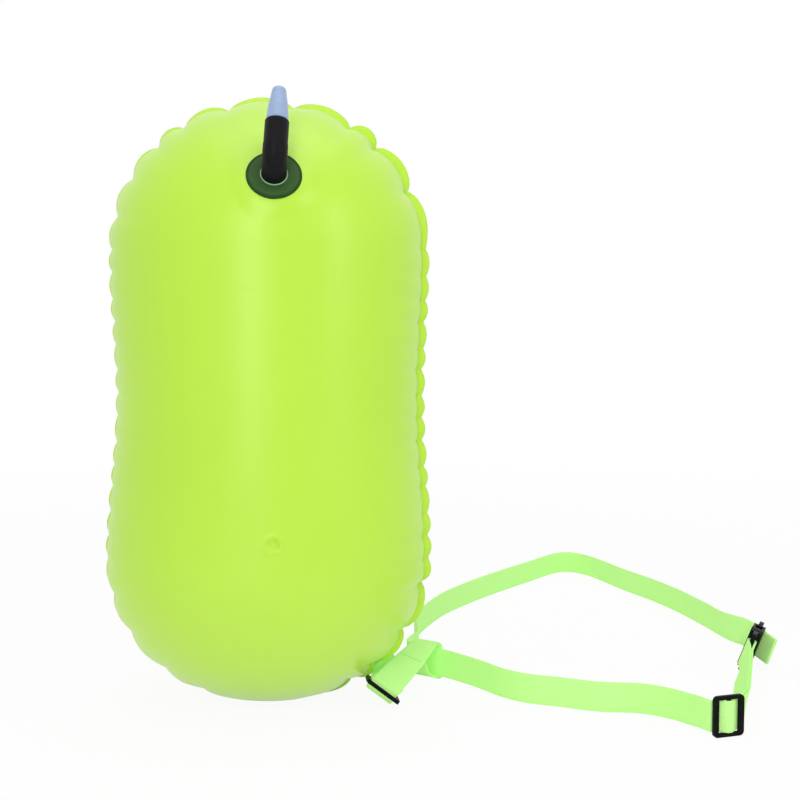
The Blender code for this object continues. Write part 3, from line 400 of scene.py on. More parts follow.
def wrapped(columns, rows, place, measure=None):
    """A grid of columns by rows faces, moved point by point and closed where it meets itself."""
    bm = bmesh.new()
    bmesh.ops.create_grid(bm, x_segments=columns, y_segments=rows, size=0.5)
    cells = {}
    for vert in bm.verts:
        cell = (round((vert.co.x + 0.5) * columns), round((vert.co.y + 0.5) * rows))
        cells[vert] = cell
    if measure:
        layer = bm.loops.layers.uv.new("strap")
        for face in bm.faces:
            for loop in face.loops:
                loop[layer].uv = measure(*cells[loop.vert])
    for vert, cell in cells.items():
        vert.co = place(*cell)
    bmesh.ops.remove_doubles(bm, verts=bm.verts, dist=MERGE)
    bmesh.ops.dissolve_degenerate(bm, edges=bm.edges, dist=MERGE)
    return bm


def finished(bm, name, finish, body, replaced=(), sharp=40):
    bmesh.ops.recalc_face_normals(bm, faces=bm.faces)
    mesh = bpy.data.meshes.new(name)
    bm.to_mesh(mesh)
    bm.free()
    mesh.materials.append(finish)
    mesh.shade_smooth()
    mesh.set_sharp_from_angle(angle=math.radians(sharp))
    piece = add_object(name, mesh)
    if body:
        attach(piece, body)
    if replaced:
        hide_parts(*replaced)
    print(name + ":", len(mesh.polygons), "faces")
    return piece


# %% [markdown]
# The bladder is two flat films welded round a long rounded outline, then blown
# up. The outline needs more film than the fat shape has room for, so its edge
# gathers into scallops, with a sharp pucker between each pair. A plain rounded
# shape would miss that, and a cloth simulation would put the puckers anywhere.
# Here the outline is a list of columns, each with its centre, its reach and how
# deep the pucker beside it is, and the film runs from there to the crest.

# %% The bladder's outline
HALF_WIDTH = 0.131
RIGHT_WIDTH_SHARES = (1.0, 0.983, 0.037)
LEFT_WIDTH_SHARES = (1.035, 0.983, 0.055)
HALF_DEPTH = 0.108
END_HEIGHT = 0.120
LOWER_CENTRE = 0.1185
STRAIGHT_HEIGHT = 0.258
UPPER_CENTRE = LOWER_CENTRE + STRAIGHT_HEIGHT
UPPER_POWER = 2.0
LOWER_POWER = 2.1
SECTION_POWER = 1.8
END_PUCKER = 0.0055
SIDE_PUCKER = 0.0017
END_SHARPNESS = 0.62
PUCKER_SOFTENING = 1.3
SIDE_SCALLOPS = 13
SCALLOP_STEPS = 10
SIDE_WANDER = 0.14
SIDE_DEPTH_SHARES = (0.65, 1.35)
END_DEPTH_SHARES = (0.85, 1.1)
FOOT_HALF_WIDTH = 0.070
FOOT_FULLNESS = 1.6
TOP_NOTCHES = (0.0, 0.132, 0.249, 0.318, 0.444, 0.580, 0.680, 0.748, 0.836, 0.928, 1.0)
BOTTOM_NOTCHES = (0.0, 0.068, 0.159, 0.276, 0.372, 0.452, 0.562, 0.676, 0.733, 0.833, 0.949, 1.0)

chance = random.Random(7)


def end_shape(right, up):
    """The half width and the fullness of the outline, by the side of an end's centre."""
    low_share, top_share, _ = RIGHT_WIDTH_SHARES if right > 0 else LEFT_WIDTH_SHARES
    if up > 0:
        return HALF_WIDTH * top_share, UPPER_POWER
    return HALF_WIDTH * low_share, LOWER_POWER


class Column:
    """One line of the film, from the weld seam up to the crest."""

    def __init__(self, centre, crest, reach, phase, depth):
        self.centre = Vector((0, 0, centre))
        self.crest = crest
        self.reach = reach
        self.phase = phase
        self.depth = depth
        self.sharpness = END_SHARPNESS if reach.z else 1.0
        half_width, power = end_shape(reach.x, reach.z)
        right = abs(reach.x / half_width) ** (power - 1) / half_width
        up = abs(reach.z / END_HEIGHT) ** (power - 1) / END_HEIGHT
        self.outward = Vector((math.copysign(right, reach.x), 0, math.copysign(up, reach.z))).normalized()
        seam = self.centre + reach
        near = max(0.0, 1 - abs(seam.x) / FOOT_HALF_WIDTH) if self.outward.z < 0 else 0.0
        self.foot = min(1.0, near * FOOT_FULLNESS)

    def notch(self, depth_share):
        """How far the pucker draws the film in, sharp at the seam and softer away from it."""
        rise = math.sin(math.pi * self.phase) ** (self.sharpness + PUCKER_SOFTENING * depth_share)
        return self.depth * (1 - rise) * (1 - self.foot)


def side_columns(sign, upwards):
    low_share, top_share, waist = RIGHT_WIDTH_SHARES if sign > 0 else LEFT_WIDTH_SHARES
    found = []
    jitter = [0.0] + [chance.uniform(-SIDE_WANDER, SIDE_WANDER) for _ in range(SIDE_SCALLOPS - 1)] + [0.0]
    depths = [SIDE_PUCKER * chance.uniform(*SIDE_DEPTH_SHARES) for _ in range(SIDE_SCALLOPS + 1)]
    for scallop in range(SIDE_SCALLOPS):
        for step in range(SCALLOP_STEPS):
            share = step / SCALLOP_STEPS
            level = scallop + share
            wander = jitter[scallop] * (1 - share) + jitter[scallop + 1] * share
            if not upwards:
                level, wander = SIDE_SCALLOPS - level, -wander
            pitch = STRAIGHT_HEIGHT / SIDE_SCALLOPS
            depth = depths[scallop] if share < 0.5 else depths[scallop + 1]
            height = (level + wander) / SIDE_SCALLOPS
            width = low_share + (top_share - low_share) * height - waist * math.sin(math.pi * height) ** 2
            found.append(Column(LOWER_CENTRE + STRAIGHT_HEIGHT * height, LOWER_CENTRE + pitch * level,
                                Vector((sign * HALF_WIDTH * width, 0, 0)), share, depth))
    return found


def end_columns(notches, centre, direction):
    found = []
    ends = [SIDE_PUCKER]
    depths = ends + [END_PUCKER * chance.uniform(*END_DEPTH_SHARES) for _ in notches[1:-1]] + ends
    for index in range(len(notches) - 1):
        for step in range(SCALLOP_STEPS):
            share = step / SCALLOP_STEPS
            angle = math.pi * (notches[index] + (notches[index + 1] - notches[index]) * share)
            right, up = direction * math.cos(angle), direction * math.sin(angle)
            half_width, power = end_shape(right, direction)
            reach = Vector((math.copysign(half_width * abs(right) ** (2 / power), right), 0,
                            math.copysign(END_HEIGHT * abs(up) ** (2 / power), up)))
            depth = depths[index] if share < 0.5 else depths[index + 1]
            found.append(Column(centre, centre, reach, share, depth))
    return found


outline = side_columns(1, True) + end_columns(TOP_NOTCHES, UPPER_CENTRE, 1)
outline += side_columns(-1, False) + end_columns(BOTTOM_NOTCHES, LOWER_CENTRE, -1)
print("outline:", len(outline), "columns")

# %% [markdown]
# The flange stands out from the seam by the width of the welding bar. It leans
# back most of the way round, as its own stiffness and the grip of the film
# have it, stands out flat at the upper right and folds under the buoy at the
# foot. Both its faces have to stay above the floor, so its base and its rim
# are lifted by half its thickness where they would sink.

# %% The flange's line
FLANGE_WIDTH = 0.007
FLANGE_HALF_THICKNESS = 0.00065
FOOT_FOLD_RISE = 0.0024
TOP_LEAN = math.radians(48)
LEFT_LEAN = math.radians(62)
RIGHT_LEAN = math.radians(38)
FOOT_LEAN = math.radians(70)
CORNER_LEAN = math.radians(110)
PETAL_FULLNESS = 0.7
PETAL_WAVE = 0.0006
END_PETAL_CUT = 0.35
SIDE_PETAL_CUT = 0.14
SETTLING_ROUNDS = 3


def flange_line(column):
    """The flange's base, its rim and its normal at one column."""
    outward = column.outward
    top, low = max(outward.z, 0.0), max(-outward.z, 0.0)
    right, left = max(outward.x, 0.0), max(-outward.x, 0.0)
    lean = TOP_LEAN * top**2 + LEFT_LEAN * left**2 + RIGHT_LEAN * (right**2 + low**2 * (1 - column.foot))
    lean += FOOT_LEAN * column.foot * (1 - left) - CORNER_LEAN * (top * right) ** 2
    seam = column.centre + column.reach - outward * column.notch(0.0)
    petal = math.sin(math.pi * column.phase) ** PETAL_FULLNESS
    cut = END_PETAL_CUT if column.reach.z else SIDE_PETAL_CUT
    width = FLANGE_WIDTH * (1 - (1 - petal) * cut * (1 - column.foot))
    out_share, back_share = math.cos(lean), math.sin(lean)
    wave = PETAL_WAVE * (0.5 - petal) * (1 - column.foot)
    lift = FOOT_FOLD_RISE * (1 - column.foot)
    for _ in range(SETTLING_ROUNDS):
        normal = Vector((0, out_share, 0)) - outward * back_share
        rise = FLANGE_HALF_THICKNESS * abs(normal.z) + MERGE
        base = Vector((seam.x, seam.y, max(seam.z, rise + lift)))
        rim = base + (outward * out_share + Vector((0, back_share, 0))) * width + Vector((0, wave, 0))
        rim.z = max(rim.z, rise)
        way = (rim - base).normalized()
        out_share, back_share = way.dot(outward), way.y
        length = math.hypot(out_share, back_share)
        out_share, back_share = out_share / length, back_share / length
    return base, rim, normal


flange_lines = [flange_line(column) for column in outline]
print("flange:", round(FLANGE_WIDTH * 1000, 1), "mm wide")

# %% [markdown]
# Now the film itself. Each row of the grid is one depth between the seam and
# the crest, front and back, and the pucker fades out over the first few rows,
# as tight film hides it. Round the valve and round the leash patch the film
# is pulled nearly flat by the stiffer disc welded to it, so the points near
# them are eased towards a plane and keep only a share of their own bow.

# %% The film skin
ROWS = 30
PUCKER_FADE = ((0.0, 1.0), (0.075, 0.95), (0.25, 0.60), (0.46, 0.20), (0.69, 0.02), (0.86, 0.0), (1.0, 0.0))
VALVE = placed((0.015585, -0.09642, 0.427899), (0.992457, 0.122594, 0.0), (0.10626, -0.860225, 0.498721))
PATCH = placed((0.072393, 0.064764, 0.049552), (-0.805075, 0.593173, 0.0), (0.491629, 0.667256, -0.559527))
FLAT_PLACES = ((VALVE, 0.0200, 0.0360), (PATCH, 0.0210, 0.0360))
FLAT_PLACE_DEPTH = 0.02
BOW_SHARE = 0.22
FILM_RISE = 0.0006
CREST_EASE = 1.6
FOOT_FOLD_SHARE = 0.25


def fade(depth_share):
    for (low, first), (high, second) in zip(PUCKER_FADE, PUCKER_FADE[1:]):
        if depth_share <= high:
            share = (depth_share - low) / (high - low)
            return first + (second - first) * share
    return 0.0


def smooth_share(value):
    value = min(max(value, 0.0), 1.0)
    return value * value * (3 - 2 * value)


def flattened(point):
    for matrix, inner, outer in FLAT_PLACES:
        local = matrix.inverted() @ point
        reach = math.hypot(local.x, local.y)
        if reach < outer and local.z > -FLAT_PLACE_DEPTH:
            hold = smooth_share((outer - reach) / (outer - inner))
            local.z += (local.z * BOW_SHARE - FILM_RISE - local.z) * hold
            point = matrix @ local
    return point


def film_point(index, row):
    column = outline[index % len(outline)]
    turn = math.pi / 2 * (row / ROWS - 1)
    depth_share = abs(math.sin(turn))
    keep = math.sqrt(1 - depth_share**SECTION_POWER)
    if row == ROWS:
        return flange_lines[index % len(outline)][0]
    if row in (0, ROWS * 2):
        return Vector((0, math.copysign(HALF_DEPTH, turn), column.crest))
    centre = column.centre.lerp(Vector((0, 0, column.crest)), smooth_share(depth_share * CREST_EASE))
    point = centre + column.reach * keep - column.outward * column.notch(depth_share) * fade(depth_share)
    point.y = math.copysign(HALF_DEPTH * depth_share, turn)
    low = 0.0
    if turn > 0:
        low = FOOT_FOLD_RISE * smooth_share(1 - depth_share / FOOT_FOLD_SHARE)
    point.z = max(point.z, low)
    return flattened(point)


film = wrapped(len(outline), ROWS * 2, film_point)
print("film volume:", round(film.calc_volume(signed=False) * 1000, 1), "litres")

# %% [markdown]
# Low on the front is one small round dimple, where a weld holds the film in.
# The faces there are cut finer first, and then pressed in by a soft dish with
# a low lip round it.

# %% The dimple
DIMPLE = Vector((0.014, -0.108, 0.149))
DIMPLE_RADIUS = 0.0060
DIMPLE_DEPTH = 0.0026
FINE_CUT_SHARE = 2.6
DISH_FLAT_SHARE = 0.25
LIP_SHARE = 0.75
LIP_RISE_SHARE = 0.16

near = {vert for vert in film.verts if (vert.co - DIMPLE).length < DIMPLE_RADIUS * FINE_CUT_SHARE}
edges = [edge for edge in film.edges if edge.verts[0] in near and edge.verts[1] in near]
bmesh.ops.subdivide_edges(film, edges=edges, cuts=4, use_grid_fill=True)
for vert in film.verts:
    away = math.hypot(vert.co.x - DIMPLE.x, vert.co.z - DIMPLE.z) / DIMPLE_RADIUS
    if away < 2 * LIP_SHARE and vert.co.y < 0:
        dish = 1 - smooth_share((away - DISH_FLAT_SHARE) / (1 - DISH_FLAT_SHARE))
        lip = max(0.0, LIP_RISE_SHARE * math.sin((away - LIP_SHARE) / LIP_SHARE * math.pi))
        vert.co.y += DIMPLE_DEPTH * (dish - lip)
bladder = finished(film, "bladder_film", lime_film, "buoy",
                   ("front_panel", "back_panel"), sharp=75)

# %% [markdown]
# The flange is the same wrapped grid with its columns run round a thin strip's
# section, so it is one closed ring. Its UV map holds the distance round the
# outline, which the crossed weld lines follow.

# %% The weld flange
FLANGE_SECTION = ((0.0, 1.0), (0.35, 1.0), (0.7, 1.0), (0.94, 0.8), (1.0, 0.0),
                  (0.94, -0.8), (0.7, -1.0), (0.35, -1.0), (0.0, -1.0))
FLANGE_ROOT = 0.0004

walked = [0.0]
for (first, _, _), (second, _, _) in zip(flange_lines, flange_lines[1:] + flange_lines[:1]):
    walked.append(walked[-1] + (second - first).length)


def flange_point(index, row):
    base, rim, normal = flange_lines[index % len(outline)]
    share, side = FLANGE_SECTION[row % len(FLANGE_SECTION)]
    root = base + (base - rim).normalized() * FLANGE_ROOT
    point = root.lerp(rim, share) + normal * side * FLANGE_HALF_THICKNESS
    point.z = max(point.z, MERGE)
    return point


def flange_measure(index, row):
    share = FLANGE_SECTION[row % len(FLANGE_SECTION)][0]
    return walked[index], share * FLANGE_WIDTH


flange = wrapped(len(outline), len(FLANGE_SECTION), flange_point, flange_measure)
finished(flange, "weld_flange", lime_weld, "buoy", sharp=60)
print("weld:", round(walked[-1], 3), "m round")

# %% [markdown]
# Most of the hard parts are turned: a profile spun once round an axis. The
# helper takes the profile as (radius, height) pairs, spins it with bmesh and
# closes it on itself. Corners that a mould would round are given as several
# points.

# %% Turning helper
def turned(profile, matrix, steps=64):
    bm = bmesh.new()
    verts = [bm.verts.new((radius, 0, height)) for radius, height in profile]
    edges = [bm.edges.new(pair) for pair in zip(verts, verts[1:] + verts[:1])]
    bmesh.ops.spin(bm, geom=verts + edges, cent=(0, 0, 0), axis=(0, 0, 1), dvec=(0, 0, 0),
                   angle=math.tau, steps=steps, use_merge=True, use_duplicate=False)
    bmesh.ops.remove_doubles(bm, verts=bm.verts, dist=MERGE)
    bmesh.ops.transform(bm, matrix=matrix, verts=bm.verts)
    return bm


# %% [markdown]
# The valve's black disc is welded behind the film, and the lime over it turns dark green. Its rim is darker
# still, a painted shade in the groove there. A ramp over the distance from the valve's axis paints both. The
# Mapping node turns the object's coordinates into the valve's own, so the rings stay centred on the tube.

# %% The valve's disc
DISC_RADIUS = 0.0215
# The first two stops are the film's dark green over the disc, and the last two paint a shade into the groove
# at its rim.
DISC_RINGS_AND_RIM_SHADE = ((0.40, (0.020, 0.068, 0.016, 1)), (0.86, (0.032, 0.098, 0.024, 1)),
              (0.93, (0.003, 0.038, 0.009, 1)), (1.0, (0.002, 0.035, 0.008, 1)))
DISC_BLOOM = (0.085, 0.160, 0.035)
DISC_BLOOM_SHARE = 0.4
DISC_GRAIN_DEPTH = 0.00008

valve_green, tree, shader = new_finish("valve_green", (0.03, 0.10, 0.025), 0.45, Specular_IOR_Level=0.12)
mapping = add_node(tree, "ShaderNodeMapping", vector_type="TEXTURE")
mapping.inputs["Location"].default_value = VALVE.translation
mapping.inputs["Rotation"].default_value = VALVE.to_euler()
feed(tree, object_place(tree), mapping.inputs["Vector"])
axes = split(tree, mapping.outputs["Vector"])
square = [calc(tree, "MULTIPLY", axes[name], axes[name]) for name in "XY"]
reach = calc(tree, "DIVIDE", calc(tree, "SQRT", calc(tree, "ADD", *square)), DISC_RADIUS)
ramp = add_node(tree, "ShaderNodeValToRGB")
stops = ramp.color_ramp.elements
stops[0].position, stops[0].color = DISC_RINGS_AND_RIM_SHADE[0]
stops[1].position, stops[1].color = DISC_RINGS_AND_RIM_SHADE[-1]
for position, colour in DISC_RINGS_AND_RIM_SHADE[1:-1]:
    stops.new(position).color = colour
feed(tree, reach, ramp.inputs["Fac"])
outs = use_group(tree, grain, Grain_scale=900.0, Tone_scale=160.0)
bloom = calc(tree, "MULTIPLY", outs["Tone"], DISC_BLOOM_SHARE)
paint(tree, shader, bloom, ramp.outputs["Color"], (*DISC_BLOOM, 1))
add_bump(tree, shader, outs["Height"], DISC_GRAIN_DEPTH)

DISC_PROFILE = (
    (0.0090, 0.0003), (0.0175, 0.0003), (0.0183, 0.0001), (0.0190, -0.0001), (0.0197, 0.0001),
    (0.0201, 0.0002), (0.0206, 0.0000), (0.0210, -0.0004), (0.0212, -0.0009), (0.0212, -0.0030),
    (0.0090, -0.0030),
)
finished(turned(DISC_PROFILE, VALVE, steps=80), "valve_disc", valve_green, "buoy")

# %% [markdown]
# The neck of the disc comes through the film and a thin pale bead seals it.
# The tube is pushed over the neck, which leaves a low collar at its root.

# %% The neck and its bead
TUBE_RADIUS = 0.0091
TUBE_BORE = 0.0062
NECK_PROFILE = (
    (TUBE_BORE, -0.0015), (0.0094, -0.0015), (0.0095, 0.0042), (0.0094, 0.0047), (0.0091, 0.0050),
    (TUBE_BORE, 0.0050),
)
BEAD_RADIUS = 0.0100
BEAD_HALF_WIDTH = 0.0005
BEAD_HALF_HEIGHT = 0.0006
BEAD_POINTS = 10

angles = [math.tau * step / BEAD_POINTS for step in range(BEAD_POINTS)]
BEAD_PROFILE = [(BEAD_RADIUS + BEAD_HALF_WIDTH * math.cos(angle),
                 BEAD_HALF_HEIGHT + BEAD_HALF_HEIGHT * math.sin(angle)) for angle in angles]
finished(turned(NECK_PROFILE, VALVE), "valve_neck", black_rubber, "buoy", ("valve_flange",))
finished(turned(BEAD_PROFILE, VALVE), "valve_bead", weld_bead, "buoy", ("valve_weld_ring",))

# %% [markdown]
# The tube leaves the film square, bends up and runs straight to the
# mouthpiece. A ring of edges is spun round the bend's centre and then drawn
# out straight. That gives an even bend, where a curve object would need its
# handles tuned.

# %% The tube
TUBE_END_WAY = Vector((0.03488, 0.34181, 0.93912)).normalized()
BEND_RADIUS = 0.0160
TUBE_STRAIGHT = 0.0194
ELBOW_SWELL = 1.035
TUBE_LIP = 0.0006
TUBE_FOOT = 0.0029
TUBE_SIDES = 48
BEND_STEPS = 18

out_way = VALVE.to_3x3() @ Vector((0, 0, 1))
bend_start = VALVE @ Vector((0, 0, TUBE_FOOT))
inward = (TUBE_END_WAY - out_way * TUBE_END_WAY.dot(out_way)).normalized()
bend_centre = bend_start + inward * BEND_RADIUS
bend_axis = out_way.cross(inward).normalized()
bend_angle = out_way.angle(TUBE_END_WAY)

tube = bmesh.new()
start = placed(bend_start, bend_axis, out_way)
ring = bmesh.ops.create_circle(tube, segments=TUBE_SIDES, radius=TUBE_RADIUS * ELBOW_SWELL, matrix=start)


def drawn(bm, edges, move, scale=1.0):
    """Draws a ring of edges out by a move, and then scales it about its own centre."""
    grown = bmesh.ops.extrude_edge_only(bm, edges=edges)["geom"]
    verts = [item for item in grown if isinstance(item, bmesh.types.BMVert)]
    bmesh.ops.translate(bm, verts=verts, vec=move)
    middle = sum((vert.co for vert in verts), Vector()) / len(verts)
    bmesh.ops.scale(bm, verts=verts, vec=(scale,) * 3, space=Matrix.Translation(-middle))
    return [item for item in grown if isinstance(item, bmesh.types.BMEdge)
            and item.verts[0] in verts and item.verts[1] in verts]


def round_the_bend(geometry, angle):
    """Spins a ring round the bend's centre and gives the edges that it ends in."""
    spun = bmesh.ops.spin(tube, geom=geometry, cent=bend_centre, axis=bend_axis, dvec=(0, 0, 0),
                          angle=angle, steps=BEND_STEPS, use_merge=False, use_duplicate=False)
    return [item for item in spun["geom_last"] if isinstance(item, bmesh.types.BMEdge)]


rim = round_the_bend(ring["verts"] + tube.edges[:], bend_angle)
rim = drawn(tube, rim, TUBE_END_WAY * TUBE_LIP / 2, 1 / ELBOW_SWELL)
rim = drawn(tube, rim, TUBE_END_WAY * (TUBE_STRAIGHT - TUBE_LIP * 1.5))
rim = drawn(tube, rim, TUBE_END_WAY * TUBE_LIP, (TUBE_RADIUS - TUBE_LIP) / TUBE_RADIUS)
rim = drawn(tube, rim, Vector(), TUBE_BORE / (TUBE_RADIUS - TUBE_LIP))
rim = drawn(tube, rim, TUBE_END_WAY * -TUBE_STRAIGHT)
tube_top = bend_centre + Matrix.Rotation(bend_angle, 3, bend_axis) @ (bend_start - bend_centre)
tube_top += TUBE_END_WAY * TUBE_STRAIGHT
round_the_bend(rim + list({vert for edge in rim for vert in edge.verts}), -bend_angle)
bmesh.ops.bridge_loops(tube, edges=[edge for edge in tube.edges if edge.is_boundary])
finished(tube, "tube", black_rubber, "buoy", ("inflation_tube",))
print("tube top:", [round(value, 4) for value in tube_top])

# %% [markdown]
# The mouthpiece is one turned form: a short lip where it seats on the tube, a
# cone, a waist for the lips and a rounded tip with the air hole. Its lower
# spigot goes down into the tube and lifts the valve's stem when it is pulled.

# %% The mouthpiece
MOUTHPIECE_PROFILE = (
    (0.0042, -0.0090), (0.0042, 0.0003), (0.0080, 0.0003), (0.0083, 0.0005), (0.0084, 0.0010),
    (0.0083, 0.0030), (0.0080, 0.0060), (0.0078, 0.0085), (0.0075, 0.0115), (0.0071, 0.0148),
    (0.0066, 0.0178), (0.0061, 0.0205), (0.0058, 0.0225), (0.0056, 0.0243), (0.0053, 0.0257),
    (0.0048, 0.0267), (0.0042, 0.0273), (0.0036, 0.0276), (0.0031, 0.0276), (0.0027, 0.0273),
    (0.0026, 0.0268), (0.0026, -0.0090),
)
top_frame = placed(tube_top, Vector((1, 0, 0)) - TUBE_END_WAY * TUBE_END_WAY.x, TUBE_END_WAY)
finished(turned(MOUTHPIECE_PROFILE, top_frame), "mouthpiece_shell", blue_plastic, "valve_mouthpiece",
         ("mouthpiece",), sharp=50)

# %% [markdown]
# A strap is a flat woven tape with slightly rounded edges. Its section is a
# short closed list of points, its route is a smooth curve through the places
# that the solids give, and the grid is wrapped round the two. A place has the
# tape's width direction after it, or stands upright without one, so the tape
# can roll from lying flat to standing on edge.

# %% Strap helpers
WEB_WIDTH = 0.025
WEB_THICKNESS = 0.0015
WEB_STEP = 0.0035
WEB_FLAT = tuple((step / 4, 1.0) for step in range(-3, 4))
WEB_UPPER_HALF = ((-1.0, 0.0), (-0.985, 0.62), (-0.95, 0.94), *WEB_FLAT, (0.95, 0.94), (0.985, 0.62))
WEB_SECTION = WEB_UPPER_HALF + tuple((-share, -rise) for share, rise in WEB_UPPER_HALF)


def smooth_route(points, step):
    """Catmull-Rom through (place, width direction) pairs, with a point about every step."""
    route = []
    last = len(points) - 1
    for index in range(last):
        around = [points[min(max(index + shift, 0), last)] for shift in (-1, 0, 1, 2)]
        pieces = max(1, round((around[2][0] - around[1][0]).length / step))
        for piece in range(pieces):
            t = piece / pieces
            weights = ((-t + 2 * t**2 - t**3) / 2, (2 - 5 * t**2 + 3 * t**3) / 2,
                       (t + 4 * t**2 - 3 * t**3) / 2, (t**3 - t**2) / 2)
            route.append([sum((pair[part] * weight for pair, weight in zip(around, weights)), Vector())
                          for part in (0, 1)])
    route.append(list(points[last]))
    return route


def millimetres(row):
    place = Vector(row[:3]) / 1000
    across = Vector(row[3:]) if len(row) > 3 else Vector((0, 0, 1))
    return place, across.normalized()


def held(way, *places):
    """The places of one stretch, with the width direction that they share."""
    return [(*place, *way) for place in places]


def strap(name, rows, body, replaced):
    route = smooth_route([millimetres(row) for row in rows], WEB_STEP)
    travelled, frames = [0.0], []
    for index, (place, across) in enumerate(route):
        before, after = route[max(index - 1, 0)][0], route[min(index + 1, len(route) - 1)][0]
        way = (after - before).normalized()
        across = (across - way * across.dot(way)).normalized()
        frames.append((place, across, way.cross(across)))
        if index:
            travelled.append(travelled[-1] + (place - route[index - 1][0]).length)

    def strap_point(row, side):
        place, across, face = frames[row]
        share, rise = WEB_SECTION[side % len(WEB_SECTION)]
        return place + across * share * WEB_WIDTH / 2 + face * rise * WEB_THICKNESS / 2

    def strap_measure(row, side):
        return travelled[row], WEB_SECTION[side % len(WEB_SECTION)][0] * WEB_WIDTH / 2

    bm = wrapped(len(route) - 1, len(WEB_SECTION), strap_point, strap_measure)
    bmesh.ops.holes_fill(bm, edges=[edge for edge in bm.edges if edge.is_boundary], sides=0)
    print(name + ":", round(travelled[-1], 3), "m long")
    return finished(bm, name, webbing, body, replaced)


# %% [markdown]
# The leash starts on a round patch welded low on the bladder's back. A tab of
# webbing sewn to the patch holds a wire ring, and the leash strap goes round
# the ring, under the middle bar of its slider and up round the belt. Each
# named way is the direction of the tape's width over one stretch.

# %% The leash's webbing
RING_WAY = (0.77, -0.02, 0.64)
GLIDE_WAY = (0.8, 0, -0.6)
BELT_WAY = (0.8, -0.6, 0)

TAB_ROUTE = held(
    RING_WAY, (67.49, 75.14, 55.74), (78.33, 55.79, 42.19), (82.08, 49.09, 37.49), (83.19, 47.11, 36.11),
    (83.91, 46.36, 35.22), (84.79, 46.29, 34.17), (85.59, 46.91, 33.25), (86.1, 48.06, 32.69),
    (86.17, 49.43, 32.65), (85.79, 50.65, 33.14), (79.21, 56.99, 41.18), (68.37, 76.34, 54.74),
)
LEASH_ROUTE = held(
    RING_WAY, (93.53, 22.52, 22.96), (91, 29.38, 26.2), (87.49, 35.34, 30.58), (87.27, 36.66, 30.89),
    (87.51, 37.99, 30.66), (88.14, 38.98, 29.94), (89, 39.35, 28.94), (89.85, 39.02, 27.92),
    (90.47, 38.07, 27.15), (92.01, 30.31, 25.04), (94.54, 23.44, 21.79),
) + [
    (98.52, 11.72, 16.64, 0.99, -0.02, 0.11),
] + held(
    GLIDE_WAY, (102.5, 0, 11.5), (96.02, -12.98, 14.59), (96.48, -18.43, 15.2), (95.23, -24.79, 13.54),
    (93.62, -25.6, 11.41), (92.52, -27.06, 9.94), (92.21, -28.77, 9.54), (92.79, -30.27, 10.3),
    (94.09, -31.17, 12.03), (95.77, -31.21, 14.26), (97.68, -30.77, 16.79),
) + [
    (108.13, -6.43, 21.5, 0.87, -0.2, -0.46), (119.27, 19.54, 26.53, 0.88, -0.41, -0.25),
    (127.28, 38.2, 30.14, 0.84, -0.54, -0.1),
] + held(
    BELT_WAY, (132.51, 50.37, 32.5), (137.26, 56.68, 30.45), (137.26, 56.68, 16.15),
    (137.26, 56.68, 3.15), (137.09, 56.45, 2.1), (136.63, 55.84, 1.33), (136, 55, 1.05),
    (135.37, 54.16, 1.33), (134.91, 53.55, 2.1), (134.74, 53.32, 3.15), (132.21, 49.97, 3.15),
) + [
    (125.23, 35.58, 11.69, 0.85, -0.51, -0.13), (120.88, 25.12, 24.6, 0.88, -0.41, -0.25),
    (116.74, 15.47, 22.73, 0.88, -0.41, -0.25),
]
strap("patch_tab", TAB_ROUTE, "buoy", ("anchor_tab",))
strap("leash", LEASH_ROUTE, "buoy", ("leash_strap",))

PATCH_PROFILE = (
    (0.0, 0.0004), (0.0180, 0.0004), (0.0186, 0.0001), (0.0191, 0.0001), (0.0197, 0.0004),
    (0.0212, 0.0003), (0.0219, -0.0001), (0.0221, -0.0008), (0.0221, -0.0030), (0.0, -0.0030),
)
finished(turned(PATCH_PROFILE, PATCH, steps=72), "leash_patch", lime_film, "buoy")

# %% [markdown]
# The waist belt lies on edge on the floor in one loop. Its near part weaves through the belt's slider, goes
# round the bar of the buckle's plug and comes back behind itself, and its far part ends in the buckle's
# socket. When the buckle is pulled apart the far part's end goes with the socket while its root stays under
# the leash, so it rides on no single body. Both parts start at the same place, so they look like the one
# strip that they are.

# %% The belt's webbing
BUCKLE_WAY = (0.31, -0.14, 0.94)

NEAR_ROUTE = [
    (118.8, 92.5, 14.1), (116.9, 83.1, 14.5), (117.6, 74.3, 14.9), (120, 68.8, 14.9),
    (123.1, 64.7, 14.9), (144, 49, 14.9), (152, 43, 14.9), (163, 33, 14.3), (173, 24, 13.6),
    (185, 10, 13), (197, -6, 12.8), (215, -21, 12.8), (240, -31, 12.8), (271, -44, 12.8),
    (305, -49.5, 13), (325.3, -65.6, 13.8), (336, -82, 14.9), (342.5, -95, 16.2), (347.8, -104.7, 16.4),
    (352.2, -104, 16.4), (361, -107.2, 16.4), (363.8, -106.3, 16.4), (369, -98.5, 16.4),
    (374.6, -96.4, 16.4), (382.4, -74.2, 16.5, 0.25, -0.07, 0.97),
    (388.7, -46.3, 16.7, 0.44, -0.12, 0.89), (403, 2, 17.5, 0.47, -0.13, 0.88),
    (416.4, 41.9, 18.3, 0.36, -0.1, 0.93),
] + held(
    BUCKLE_WAY, (425.9, 65, 17.9), (426.2, 66.8, 18.1), (425.6, 68.4, 18.5), (424.3, 69.5, 19.1),
    (422.6, 69.8, 19.7), (420.9, 69, 20.1), (419.8, 67.6, 20.3),
) + [
    (414.4, 42.5, 19.1, 0.36, -0.1, 0.93), (401.2, 2.5, 18.5, 0.47, -0.13, 0.88),
    (386.9, -45.8, 17.7, 0.44, -0.12, 0.89), (380.4, -73.6, 17, 0.25, -0.07, 0.97), (370.7, -94.3, 16.4),
    (363.7, -96.5, 16.4),
]
